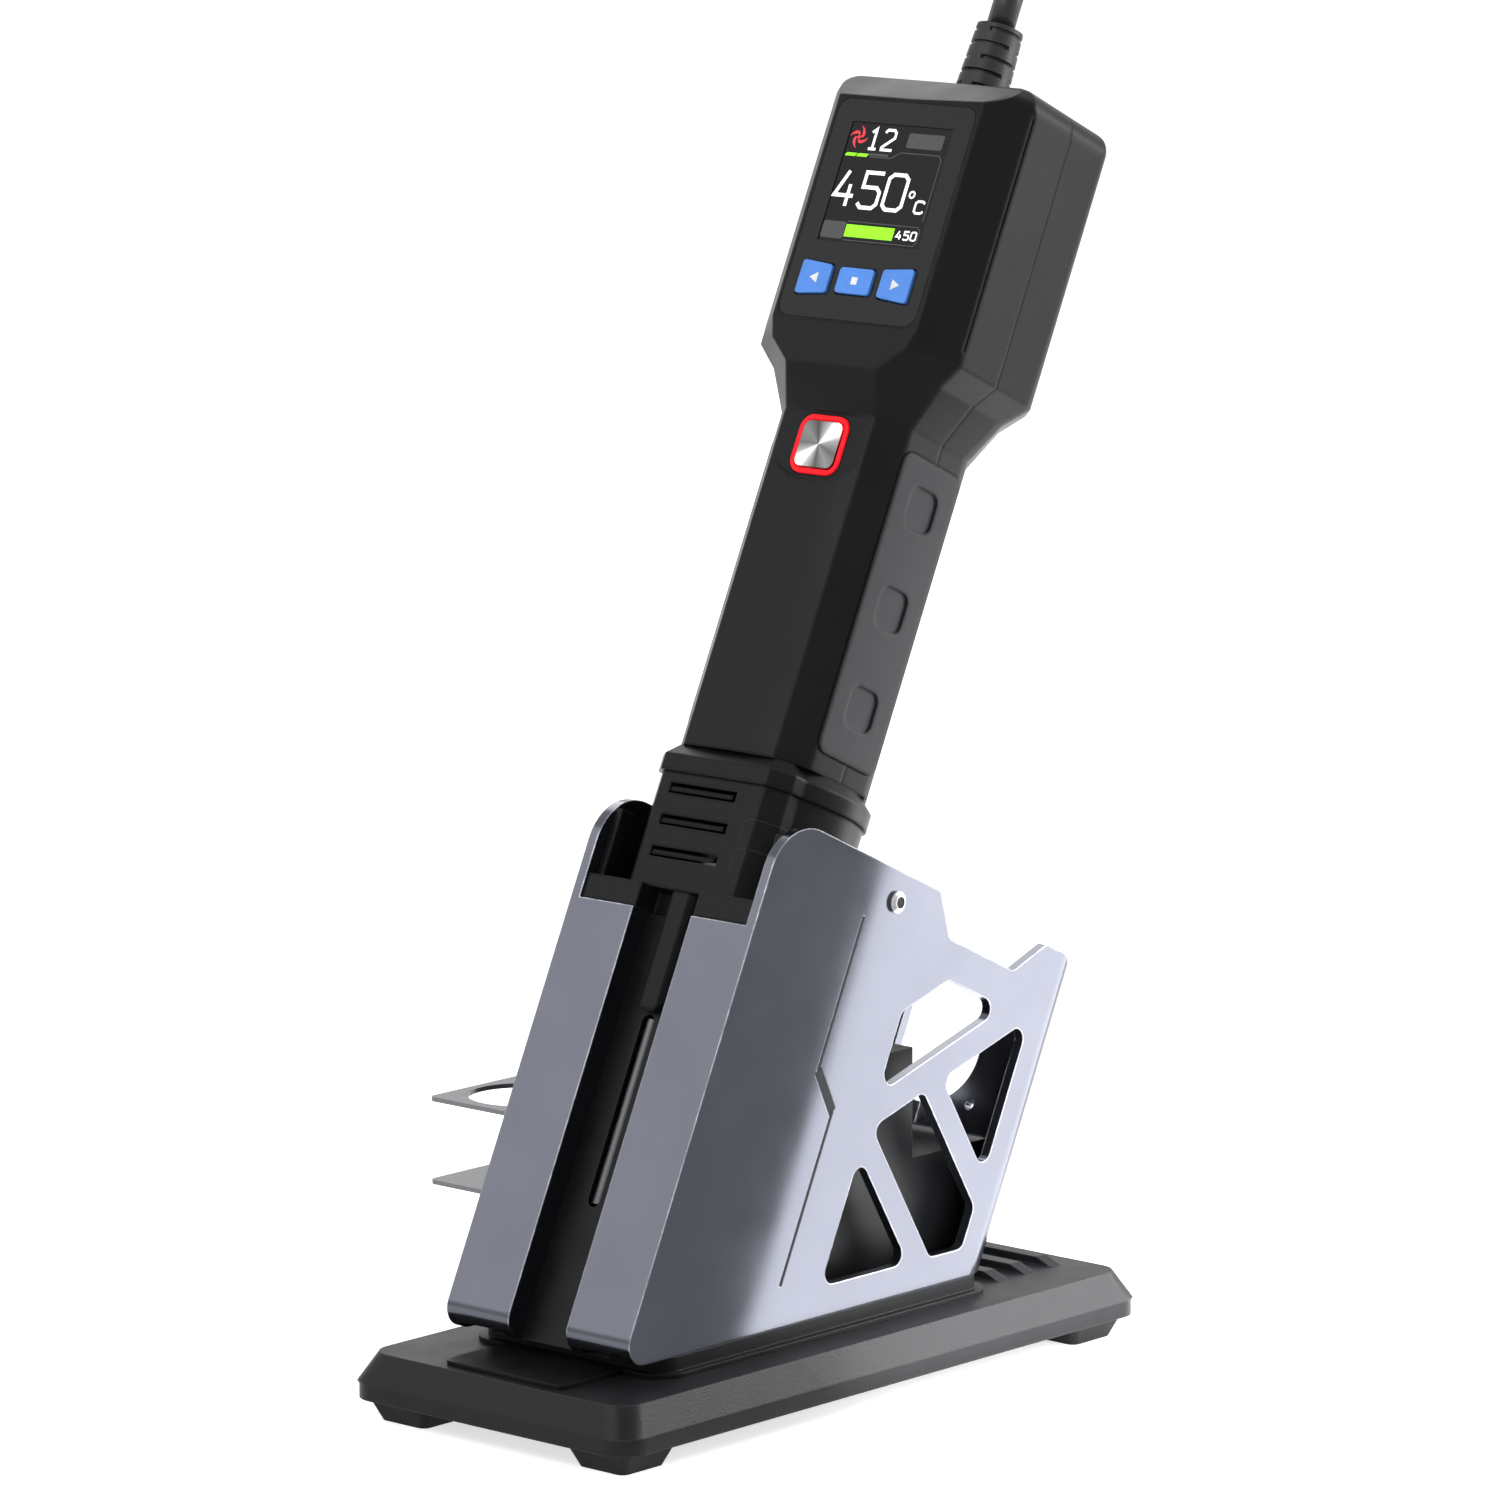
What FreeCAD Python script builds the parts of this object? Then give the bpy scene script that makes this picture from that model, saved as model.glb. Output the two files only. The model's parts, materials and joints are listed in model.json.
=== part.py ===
# A handheld hot-air soldering gun standing in its sheet-metal stand on a weighted base.
# Millimetres. +X is the object's right, -Y its front, +Z up. The origin is the middle of the
# base's footprint, on the surface that the feet stand on.
# Leaning pieces are drawn upright in the lean frame: x across, y back from the stand's front
# plane, z up along the gun. Their Placement leans them back about the stand's front foot.
import FreeCAD, Part
import math
import os
import re
import Sketcher

Vector = FreeCAD.Vector
doc = FreeCAD.newDocument("soldering_station")

# ---------------------------------------------------------------- driving dimensions
SIZES = {
    # base
    "slab_width": 80.0, "slab_length": 170.0, "slab_bottom": 5.1, "slab_side": 3.6,
    "slab_top": 15.0, "slab_corner": 6.5, "slab_draft": 27.7,
    "foot_size": 13.0, "foot_inset": 5.0, "foot_draft": 23.0, "foot_round": 2.0,
    "rib_length": 48.8, "rib_width": 3.2, "rib_height": 1.8, "rib_pitch": 9.1,
    "rib_slope": 4.4, "rib_back": 73.7,
    "plinth_width": 53.0, "plinth_front": -58.5, "plinth_back": 46.0, "plinth_top": 19.1,
    "plinth_round": 5.0, "skirt_rim": 2.0, "skirt_height": 1.0,
    "tongue_width": 34.0, "tongue_front": -79.4, "tongue_round": 2.0,
    # lean of the stand and gun
    "lean_angle": 25.48, "pivot_back": -68.48, "pivot_height": 24.63,
    # side plates
    "plate_spread": 26.2, "plate_sheet": 2.4, "plate_depth": 108.4, "plate_height": 116.4,
    "flange_top": 91.4, "flange_gap": 8.3, "lip_depth": 6.0, "ear_round": 12.0,
    "ear_back": 55.2, "dip_front": 62.5, "dip_back": 86.6, "dip_floor": 107.8,
    "horn_front": 95.0, "toe_round": 4.5, "heel_round": 2.0, "horn_round": 8.0,
    "rear_bend": 6.7, "rear_flange": 9.2, "tab_low": 73.0, "tab_top": 104.0, "tab_gap": 0.15,
    "tab_back": 103.0,
    "tab_hole": 1.1, "tab_hole_x": 13.4, "tab_hole_rise": 6.3,
    "rest_radius": 12.0, "rest_height": 90.0,
    "ledge_reach": 6.2, "ledge_front": -45.0, "ledge_back": 32.0,
    # windows in the side plates
    "window_front": 54.2, "window_back": 96.6, "window_top": 99.5, "window_floor": 6.5,
    "window_cut": 12.07, "window_round": 2.6, "strut_width": 6.2, "rise_angle": 42.0,
    "fall_angle": 33.5, "rise_start": 61.63, "fall_upper": 92.14, "fall_lower": 63.94,
    # engraved line on the side plates
    "line_width": 0.6, "line_deep": 0.3, "line_front": 33.1, "line_back": 41.4,
    "line_top": 103.8, "line_high": 69.4, "line_low": 62.6, "line_end": 23.6,
    "wedge_height": 2.6,
    # cradle and heat shield
    "slip_gap": 0.1, "cradle_floor": 5.6, "cradle_height": 21.0, "cradle_wall": 1.8,
    "cradle_front": 0.5, "cradle_mouth": 3.0, "cradle_back": 46.5, "cradle_bore": 12.6,
    "nose_half": 3.6, "nose_front": 4.1, "nose_drop": 21.4, "nose_bevel": 1.5,
    "boss_width": 5.0, "boss_deep": 9.0, "boss_tall": 9.0,
    "shield_half": 17.0, "shield_sheet": 1.0, "shield_front": 6.0, "shield_back": 33.0,
    "shield_shelf": 70.1, "shield_throat": 37.5, "shield_heel": 105.8, "shield_step": 45.6,
    "slot_half": 1.7, "slot_low": 27.3,
    "slot_top": 70.0,
    # screws
    "screw_radius": 1.5, "dome_head": 2.4, "dome_tall": 1.3, "hex_radius": 1.3,
    "bolt_back": 41.9, "bolt_height": 109.8, "bolt_length": 7.0,
    "cap_head": 2.8, "cap_tall": 1.8, "head_play": 0.3,
    "plinth_screw_x": 20.8, "plinth_screw_front": -35.0, "plinth_screw_back": 25.0,
    # nozzle rack on the left plate
    "rack_front": -44.7, "rack_length": 54.5, "rack_reach": 27.8, "rack_sheet": 1.0,
    "rack_low": 43.3, "rack_high": 61.6, "rack_hole": 11.5, "rack_hole_out": 14.0,
    "rack_hole_first": 14.3, "rack_hole_pitch": 25.9, "rack_corner": 1.5,
    "rack_screw_first": 8.7, "rack_screw_pitch": 26.0,
    # gun: axis, collar, barrel
    "axis_back": 22.4, "collar_height": 25.5, "collar_radius": 21.5, "collar_wall": 2.0,
    "collar_face": 3.7, "collar_half": 18.3, "collar_chamfer": 3.9, "collar_floor": 2.5,
    "vent_left": -11.5, "vent_right": 7.5, "vent_tall": 2.4, "vent_first": 6.5,
    "vent_pitch": 7.1, "ring_lip": 0.7, "ring_height": 6.5, "ring_slope": 2.8,
    "ring_bevel": 45.0,
    "ring_bore": 14.5,
    "barrel_radius": 12.0, "barrel_wall": 0.6, "barrel_low": 30.0, "barrel_top": 108.0,
    "clamp_radius": 16.5, "clamp_tall": 3.0, "mica_wall": 0.8, "mica_recess": 6.0,
    "core_recess": 10.0, "channel_radius": 1.7, "channel_circle": 6.2, "channels": 6.0,
    # gun: sections of the handle and head
    "grip_half": 18.5, "grip_face_half": 12.6, "grip_face": 5.2, "grip_crown": 0.8, "least_crown": 0.001,
    "grip_shoulder": 11.0, "grip_rear_shoulder": 32.0, "grip_rear_half": 10.8,
    "grip_rear": 41.0, "neck_low": 206.0, "neck_fold": 215.4, "neck_fold_half": 12.9,
    "neck_side": 23.6, "neck_shoulder": 9.8, "head_low": 220.2, "head_low_half": 18.5,
    "face_low": 225.0, "head_top": 283.4, "head_half": 28.4, "face_half": 20.3,
    "face_front": 1.0, "head_shoulder": 8.8, "head_rear_shoulder": 35.5, "head_rear": 43.6,
    "edge_round": 1.2, "back_round": 5.0, "head_corner": 6.0, "head_round": 5.0, "brow_depth": 7.6,
    "brow_drop": 7.1, "nape_depth": 4.0, "casing_wall": 2.0, "parting": 22.3,
    "panel_low": 190.0, "panel_radius": 18.0,
    "crease_width": 0.5, "crease_deep": 0.7, "crease_low": 223.5, "crease_top": 277.0,
    # gun: screen and keys
    "bezel_half": 19.3, "bezel_low": 225.3, "bezel_top": 275.5, "bezel_thick": 1.0,
    "bezel_round": 3.0, "screen_half": 14.2, "screen_low": 243.0, "screen_top": 270.2,
    "screen_sink": 0.2, "module_rim": 2.6, "module_thick": 3.0, "board_rim": 0.9,
    "board_thick": 1.6, "switch_tall": 4.0, "switch_stem": 1.0,
    "small_switch_tall": 1.3, "small_switch_stem": 0.5, "key_proud": 0.6, "key_gap": 0.3,
    "key_flange": 0.8, "key_flange_thick": 0.9, "key_inner": 7.2, "key_outer": 15.7,
    "key_inner_low": 231.1, "key_inner_top": 237.4, "key_outer_low": 230.3,
    "key_outer_top": 238.1, "stop_half": 4.75, "stop_low": 231.3, "stop_top": 237.1,
    "key_round": 0.8, "switch_half": 3.0, "switch_button": 1.7,
    "power_half": 5.4, "power_low": 193.2, "power_top": 203.6, "power_round": 1.8,
    "power_ring_rim": 1.5, "power_ring_thick": 1.4, "power_proud": 0.3,
    "power_board_back": 14.5, "power_board_half": 10.0,
    # gun: rubber grip pads
    "pad_front": 11.4, "pad_back": 31.4, "pad_low": 133.6, "pad_top": 201.4,
    "pad_crown": 2.6, "pad_sunk": 0.9, "pad_proud": 0.4, "dimple_size": 9.2,
    "dimple_round": 2.4, "dimple_deep": 0.5, "dimple_first": 145.8, "dimple_pitch": 22.6,
    # gun: blower and boards inside
    "duct_radius": 15.2, "duct_wall": 1.2, "duct_height": 37.0, "fan_radius": 13.4,
    "fan_rise": 6.0, "fan_tall": 9.0, "fan_blade": 1.0, "fan_blades": 9.0, "hub_radius": 5.0,
    "motor_radius": 9.5, "motor_rise": 17.0, "motor_tall": 17.0, "spoke_width": 2.4,
    "shaft_radius": 1.0, "shaft_play": 0.05, "mainboard_half": 12.0,
    "mainboard_back": 31.0, "mainboard_low": 173.0, "mainboard_top": 216.0,
    "weld_sunk": 0.2, "dome_spread": 1.5, "dome_crown": 0.6, "socket_sunk": 0.4, "bevel_share": 0.4,
    "transformer_half": 7.0, "transformer_deep": 11.0, "transformer_low": 4.0,
    "transformer_top": 20.0, "capacitor_radius": 5.0, "capacitor_rise": 30.0,
    "capacitor_deep": 14.0, "fan_tilt": 35.0, "post_sunk": 0.5,
    "post_radius": 2.0, "shell_screw_x": 16.0, "shell_screw_high": 277.0,
    "shell_screw_low_x": 9.0, "shell_screw_low": 219.5, "shell_boss": 3.2,
    # cord, strain relief and plug
    "cord_diameter": 6.0, "relief_radius": 6.0, "relief_tip": 5.2, "relief_top": 301.0,
    "relief_flange": 7.6, "relief_flange_tall": 2.0, "relief_bore": 6.2,
    "slit_first": 2.4, "slit_pitch": 3.3, "slit_tall": 1.0, "slit_deep": 1.4,
    "coil_x": -88.5, "coil_y": 88.6, "coil_outer": 38.5, "coil_turns": 4.25, "plug_lead": 25.0,
    "coil_gap": 0.6, "plug_length": 30.0, "plug_width": 14.0, "plug_round": 4.0,
    "blade_width": 6.3, "blade_thick": 1.5, "blade_length": 17.0, "blade_spread": 12.7,
}

sheet = doc.addObject("Spreadsheet::Sheet", "Sizes")
for row, (alias, value) in enumerate(SIZES.items(), 1):
    sheet.set(f"A{row}", alias)
    sheet.set(f"B{row}", str(value))
    sheet.setAlias(f"B{row}", alias)
doc.recompute()


class Size:
    """The sheet's values by name, for shapes that are worked out in code."""

    def __getattr__(self, alias):
        return float(sheet.get(alias))


size = Size()
nodes = []


# ---------------------------------------------------------------- helpers
def bind(obj, prop, text):
    """Ties a property to an expression of the sheet's aliases."""
    known = re.sub(r"[a-z][a-z_]+", lambda word: sheet_name(word[0]), str(text))
    obj.setExpression(prop, known)


def sheet_name(word):
    return f"Sizes.{word}" if word in SIZES else word


def lean(obj):
    """Leans a piece that was drawn in the lean frame."""
    axis = Vector(-1, 0, 0)
    obj.Placement = FreeCAD.Placement(Vector(), FreeCAD.Rotation(axis, size.lean_angle))
    bind(obj, "Placement.Base.y", "pivot_back")
    bind(obj, "Placement.Base.z", "pivot_height")
    bind(obj, "Placement.Rotation.Angle", "lean_angle")
    return obj


def node(obj, name, leaning=False):
    """Makes an object a sub-part of its own."""
    if leaning:
        lean(obj)
    obj.Label = name
    nodes.append(obj)
    return obj


def box(name, x, y, z):
    """A box between three pairs of bounds."""
    obj = doc.addObject("Part::Box", name)
    for side, axis, (low, high) in zip(("Length", "Width", "Height"), "xyz", (x, y, z)):
        bind(obj, side, f"({high}) - ({low})")
        bind(obj, f"Placement.Base.{axis}", low)
    return obj


TURNS = {"z": (Vector(0, 0, 1), 0), "x": (Vector(0, 1, 0), 90), "y": (Vector(-1, 0, 0), 90)}


def turned(obj, centre, low, axis):
    """Stands a cylinder or cone along an axis, at the two other coordinates in XYZ order."""
    obj.Placement = FreeCAD.Placement(Vector(), FreeCAD.Rotation(*TURNS[axis]))
    across = [letter for letter in "xyz" if letter != axis]
    for letter, text in zip([*across, axis], [*centre, low]):
        bind(obj, f"Placement.Base.{letter}", text)
    return obj


def rod(name, radius, centre, low, high, axis="z"):
    """A cylinder along an axis."""
    obj = doc.addObject("Part::Cylinder", name)
    bind(obj, "Radius", radius)
    bind(obj, "Height", f"({high}) - ({low})")
    return turned(obj, centre, low, axis)


def cone(name, radius_low, radius_high, centre, low, high, axis="z"):
    """A cut cone along an axis."""
    obj = doc.addObject("Part::Cone", name)
    bind(obj, "Radius1", radius_low)
    bind(obj, "Radius2", radius_high)
    bind(obj, "Height", f"({high}) - ({low})")
    return turned(obj, centre, low, axis)


def fuse(name, *shapes):
    obj = doc.addObject("Part::MultiFuse", name)
    obj.Shapes = list(shapes)
    return obj


def common(name, *shapes):
    obj = doc.addObject("Part::MultiCommon", name)
    obj.Shapes = list(shapes)
    return obj


def group(name, *shapes):
    """Separate solids under one name."""
    obj = doc.addObject("Part::Compound", name)
    obj.Links = list(shapes)
    return obj


def cut(name, base, *tools):
    """The base without the tools."""
    obj = doc.addObject("Part::Cut", name)
    obj.Base = base
    obj.Tool = tools[0] if len(tools) == 1 else fuse(name + "_tools", *tools)
    return obj


def tube(name, outer, inner, centre, low, high, axis="z"):
    return cut(name, rod(name + "_outer", outer, centre, low, high, axis),
               rod(name + "_bore", inner, centre, low, high, axis))


def mirror(name, source):
    """The same piece on the other side of the middle plane."""
    obj = doc.addObject("Part::Mirroring", name)
    obj.Source = source
    obj.Normal = Vector(1, 0, 0)
    return obj


PLANES = {"xy": "XY_Plane", "xz": "XZ_Plane", "yz": "YZ_Plane"}


def prism(name, plane, points, low, high, rounds=(), draft=None):
    """A padded polygon with corners from the sheet. rounds holds pairs of radius and corners."""
    body = doc.addObject("PartDesign::Body", name)
    sketch = body.newObject("Sketcher::SketchObject", name + "_sketch")
    origin = next(o for o in body.Origin.OriginFeatures if o.Role == PLANES[plane])
    sketch.AttachmentSupport = [(origin, "")]
    sketch.MapMode = "FlatFace"
    draw_polygon(sketch, points)
    bind(sketch, "AttachmentOffset.Base.z", f"-({high})" if plane == "xz" else low)
    pad = body.newObject("PartDesign::Pad", name + "_pad")
    pad.Profile = sketch
    bind(pad, "Length", f"({high}) - ({low})")
    if draft:
        bind(pad, "TaperAngle", draft)
    doc.recompute()
    feature = pad
    for number, (radius, corners) in enumerate(rounds):
        places = [sketch.Geometry[corner].StartPoint for corner in corners]
        edges = rising_edges(feature.Shape, sketch.Placement, places)
        fillet = body.newObject("PartDesign::Fillet", f"{name}_round_{number}")
        fillet.Base = (feature, edges)
        bind(fillet, "Radius", radius)
        doc.recompute()
        feature = fillet
    return body


def draw_polygon(sketch, points):
    """Draws a closed polygon whose corners are held by expressions."""
    count = len(points)
    start = [Vector(math.cos(i), math.sin(i)) for i in range(count)]
    for i in range(count):
        sketch.addGeometry(Part.LineSegment(start[i], start[(i + 1) % count]), False)
    for i in range(count):
        sketch.addConstraint(Sketcher.Constraint("Coincident", i, 2, (i + 1) % count, 1))
    for i, corner in enumerate(points):
        for kind, text, value in zip(("DistanceX", "DistanceY"), corner, start[i]):
            index = sketch.addConstraint(Sketcher.Constraint(kind, -1, 1, i, 1, value))
            bind(sketch, f"Constraints[{index}]", text)


def rising_edges(shape, placement, places):
    """Names of the edges that rise from a sketch's corners."""
    found, upright = [], placement.inverse()
    for number, edge in enumerate(shape.Edges, 1):
        ends = sorted((upright.multVec(v.Point) for v in edge.Vertexes), key=lambda end: end.z)
        if len(ends) == 2 and ends[1].z - ends[0].z > 0.01:
            if any(math.hypot(ends[0].x - p.x, ends[0].y - p.y) < 0.01 for p in places):
                found.append(f"Edge{number}")
    return found


def rectangle(left, bottom, right, top):
    return [(left, bottom), (right, bottom), (right, top), (left, top)]


def made(name, shape, leaning=False):
    """A sub-part whose shape is worked out in code."""
    return node(shaped(name, shape), name, leaning)


def shaped(name, shape):
    obj = doc.addObject("Part::Feature", name)
    obj.Shape = shape
    return obj


def rounded(points, radii):
    """A closed wire through points, each corner an arc of its radius."""
    count, arcs = len(points), []
    for i, (corner, radius) in enumerate(zip(points, radii)):
        back = (points[i - 1] - corner).normalize()
        ahead = (points[(i + 1) % count] - corner).normalize()
        half = back.getAngle(ahead) / 2
        reach = radius / math.tan(half)
        middle = (back + ahead).normalize() * (radius / math.sin(half) - radius)
        arcs.append((corner + back * reach, corner + middle, corner + ahead * reach))
    edges = []
    for i, arc in enumerate(arcs):
        edges.append(Part.Arc(*arc).toShape())
        edges.append(Part.LineSegment(arc[2], arcs[(i + 1) % count][0]).toShape())
    return Part.Wire(edges)


# ---------------------------------------------------------------- base
SIDES = ("-", "")


def build_base():
    half_w, half_l, waist = "slab_width/2", "slab_length/2", "slab_bottom + slab_side"
    corners = rectangle(f"-{half_w}", f"-{half_l}", half_w, half_l)
    low = prism("slab_low", "xy", corners, "slab_bottom", waist, [("slab_corner", range(4))])
    high = prism("slab_high", "xy", corners, waist, "slab_top", [("slab_corner", range(4))],
                 "-slab_draft")
    ribs = [build_rib(number) for number in range(3)]
    holes = []
    for x, y in foot_places():
        holes.append(rod("foot_thread", "screw_radius", (x, y), "0", "slab_top - 3"))
    for x, y in plinth_screw_places():
        seat = "slab_bottom + cap_tall + head_play"
        holes.append(rod("plinth_thread", "screw_radius", (x, y), "0", "slab_top + 1"))
        holes.append(rod("plinth_sink", "cap_head + head_play", (x, y), "0", seat))
    node(cut("slab", fuse("slab_ribbed", low, high, *ribs), *holes), "base_plate")


def build_rib(number):
    """A raised bar across the slab's back, with sloped ends."""
    middle, half, foot = f"rib_back - {number}*rib_pitch", "rib_length/2", "slab_top - weld_sunk"
    crest = "slab_top + rib_height"
    ends = [(f"-{half}", foot), (half, foot), (half, "slab_top"), (f"{half} - rib_slope", crest),
            (f"rib_slope - {half}", crest), (f"-{half}", "slab_top")]
    return prism(f"rib_{number}", "xz", ends, f"{middle} - rib_width/2", f"{middle} + rib_width/2")


def foot_places():
    x = "(slab_width/2 - foot_inset - foot_size/2)"
    y = "(slab_length/2 - foot_inset - foot_size/2)"
    return [(sx + x, sy + y) for sy in SIDES for sx in SIDES]


def plinth_screw_places():
    rows = ("plinth_screw_front", "plinth_screw_back")
    return [(f"{side}plinth_screw_x", y) for y in rows for side in SIDES]


def build_feet():
    names = ("foot_front_left", "foot_front_right", "foot_rear_left", "foot_rear_right")
    screws = []
    for name, (x, y) in zip(names, foot_places()):
        half = "foot_size/2"
        corners = rectangle(f"{x} - {half}", f"{y} - {half}", f"{x} + {half}", f"{y} + {half}")
        block = prism(name + "_block", "xy", corners, "0", "slab_bottom",
                      [("foot_round", range(4))], "foot_draft")
        hole = rod(name + "_hole", "screw_radius", (x, y), "0", "slab_bottom")
        sink = rod(name + "_sink", "cap_head + head_play", (x, y), "0", "cap_tall + head_play")
        node(cut(name + "_bored", block, hole, sink), name)
        screws.append(cap_screw(name + "_screw", x, y, "head_play", "slab_top - 3"))
    node(group("foot_screw_set", *screws), "foot_screws")


def cap_screw(name, x, y, low, high):
    """A screw driven up from below, with a hex socket in its head."""
    head = rod(name + "_head", "cap_head", (x, y), low, f"{low} + cap_tall")
    shank = rod(name + "_shank", "screw_radius", (x, y), low, high)
    socket = rod(name + "_socket", "hex_radius", (x, y), low, f"{low} + cap_tall/2")
    return cut(name, fuse(name + "_blank", head, shank), socket)


def build_plinth():
    half, rim = "plinth_width/2", "skirt_rim"
    corners = rectangle(f"-{half}", "plinth_front", half, "plinth_back")
    block = prism("plinth_block", "xy", corners, "slab_top", "plinth_top",
                  [("plinth_round", range(4))])
    wide = rectangle(f"-{half} - {rim}", f"plinth_front - {rim}", f"{half} + {rim}",
                     f"plinth_back + {rim}")
    crest = "slab_top + skirt_height"
    skirt = prism("plinth_skirt", "xy", wide, "slab_top", crest,
                  [("plinth_round + skirt_rim", range(4))])
    ahead = rectangle("-tongue_width/2", "tongue_front", "tongue_width/2", "plinth_front + 2")
    tongue = prism("plinth_tongue", "xy", ahead, "slab_top", crest, [("tongue_round", (0, 1))])
    holes, screws = [], []
    for number, (x, y) in enumerate(plinth_screw_places()):
        name = f"plinth_screw_{number}"
        holes.append(rod(name + "_hole", "screw_radius", (x, y), "slab_top - 1", "plinth_top + 1"))
        screws.append(cap_screw(name, x, y, "slab_bottom + head_play", "plinth_top + plate_sheet"))
    node(cut("plinth_bored", fuse("plinth_blank", block, skirt, tongue), *holes), "plinth")
    node(group("plinth_screw_set", *screws), "plinth_screws")


# ---------------------------------------------------------------- side plates
def level(depth, height):
    """Lean-frame height, at a depth, of a plane that is level in the world."""
    return f"(({height}) - pivot_height + ({depth})*sin(lean_angle))/cos(lean_angle)"


def leaned(back, height):
    """Lean-frame depth and height of a point in the world."""
    back, up = f"(({back}) - pivot_back)", f"(({height}) - pivot_height)"
    return (f"{back}*cos(lean_angle) - {up}*sin(lean_angle)",
            f"{back}*sin(lean_angle) + {up}*cos(lean_angle)")


def line_at(line, depth):
    """A point at a depth on a line, which is its slope and its height at the window's front."""
    slope, height = line
    return depth, f"({height} + ({slope})*(({depth}) - window_front))"


def meet(one, two):
    """The point where two lines cross."""
    depth = f"(window_front + (({two[1]}) - ({one[1]}))/(({one[0]}) - ({two[0]})))"
    return line_at(one, depth)


def build_windows(low, high):
    """Cutters for the four openings between the slanted struts."""
    rise, fall, tilt = "tan(rise_angle)", "(-tan(fall_angle))", "tan(lean_angle)"
    rise_web, fall_web = "strut_width/cos(rise_angle)", "strut_width/cos(fall_angle)"
    front, back = "window_front", "window_back"
    floor = (tilt, level(front, "plinth_top + window_floor"))
    rise_low, rise_high = (rise, "rise_start"), (rise, f"(rise_start + {rise_web})")
    upper_high, upper_low = (fall, "fall_upper"), (fall, f"(fall_upper - {fall_web})")
    lower_high, lower_low = (fall, "fall_lower"), (fall, f"(fall_lower - {fall_web})")
    cap = ("0", "window_top")
    brow = (rise, f"(window_top - window_cut*{rise})")
    holes = {
        "front": [line_at(rise_high, front), meet(rise_high, cap), meet(brow, cap),
                  line_at(brow, front)],
        "top": [meet(rise_low, upper_high), line_at(upper_high, back), line_at(rise_low, back)],
        "rear": [meet(rise_low, lower_high), meet(lower_high, floor), line_at(floor, back),
                 line_at(upper_low, back), meet(upper_low, rise_low)],
        "low": [line_at(floor, front), meet(floor, lower_low), line_at(lower_low, front)],
    }
    return [prism(f"window_{name}", "yz", points, low, high,
                  [("window_round", range(len(points)))]) for name, points in holes.items()]


def build_side_plates():
    spread, sheet_in = "plate_spread", "(plate_spread - plate_sheet)"
    back, inner_back = "plate_depth", "(plate_depth - plate_sheet)"
    below, above = "-plate_depth", "2*plate_height"
    section = [("flange_gap", "0"), (spread, "0"), (spread, back),
               (f"{spread} - rear_flange", back), (f"{spread} - rear_flange", inner_back),
               (sheet_in, inner_back), (sheet_in, "plate_sheet"),
               ("flange_gap + plate_sheet", "plate_sheet"), ("flange_gap + plate_sheet", "lip_depth"),
               ("flange_gap", "lip_depth")]
    channel = prism("plate_channel", "xy", section, below, above,
                    [("rear_bend", (2,)), ("rear_bend - plate_sheet", (5,))])
    outline = [("0", level("0", "plinth_top")), (back, level(back, "plinth_top")),
               (back, "plate_height"), ("horn_front", "plate_height"), ("dip_back", "dip_floor"),
               ("dip_front", "dip_floor"), ("ear_back", "plate_height"), ("0", "plate_height")]
    side = prism("plate_side", "yz", outline, "0", f"{spread} + 1",
                 [("toe_round", (0,)), ("horn_round", (2,)), ("ear_round", (7,)),
                  ("heel_round", (1, 3, 4, 5, 6))])
    bent = common("plate_bent", channel, side)
    trims = [box("plate_ear_trim", ("0", sheet_in), ("-1", "lip_depth + 1"), ("flange_top", above)),
             box("plate_horn_trim", ("0", f"{spread} - rear_bend"), (f"{back} - rear_bend", f"{back} + 1"),
                 ("tab_top", above))]
    near, far = "(tab_back - plate_sheet)", "tab_back"
    tab = box("plate_tab", ("tab_gap", f"{sheet_in} + weld_sunk"), (near, far), ("tab_low", "tab_top"))
    rest = rod("plate_rest", "rest_radius", ("0", "rest_height"), f"{near} - 1", f"{far} + 1", "y")
    mouth = box("plate_mouth", ("-rest_radius", "rest_radius"), (f"{near} - 1", f"{far} + 1"),
                ("rest_height", "tab_top + 1"))
    hole = rod("plate_tab_hole", "tab_hole", ("tab_hole_x", "tab_low + tab_hole_rise"),
               f"{near} - 1", f"{far} + 1", "y")
    thread = rod("plate_bolt_hole", "screw_radius", ("bolt_back", "bolt_height"), "0", f"{spread} + 1", "x")
    windows = build_windows("0", f"{spread} + 1")
    leaning = cut("plate_cut", fuse("plate_tabbed", cut("plate_trimmed", bent, *trims), tab),
                  rest, mouth, hole, thread, engraving(), *windows)
    lean(leaning)
    foot_in = f"{sheet_in} - ledge_reach"
    ledge = box("plate_ledge", (foot_in, f"{sheet_in} + weld_sunk"), ("ledge_front", "ledge_back"),
                ("plinth_top", "plinth_top + plate_sheet"))
    threads = [rod("ledge_thread", "screw_radius", ("plinth_screw_x", y), "0", "slab_top*3")
               for y in ("plinth_screw_front", "plinth_screw_back")]
    right = cut("plate_right", fuse("plate_whole", leaning, ledge), *threads)
    racks = [rod("rack_thread", "screw_radius", (y, rack_screw_height()), f"(-{spread} - 1)", "0", "x")
             for y in rack_screw_rows()]
    node(right, "right_side_plate")
    node(cut("plate_left", mirror("plate_turned", right), *racks), "left_side_plate")


def engraving():
    """The thin line cut into the plate's outer face, which steps back past a slanted wedge."""
    half, wedge = "line_width/2", "wedge_height/2"
    path = [(f"line_front - {half}", "line_top"), (f"line_front - {half}", f"line_high - {wedge}"),
            (f"line_back - {half}", f"line_low - {wedge}"), (f"line_back - {half}", "line_end"),
            (f"line_back + {half}", "line_end"), (f"line_back + {half}", f"line_low + {wedge}"),
            (f"line_front + {half}", f"line_high + {wedge}"), (f"line_front + {half}", "line_top")]
    return prism("engraving", "yz", path, "plate_spread - line_deep", "plate_spread + 1")


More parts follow.
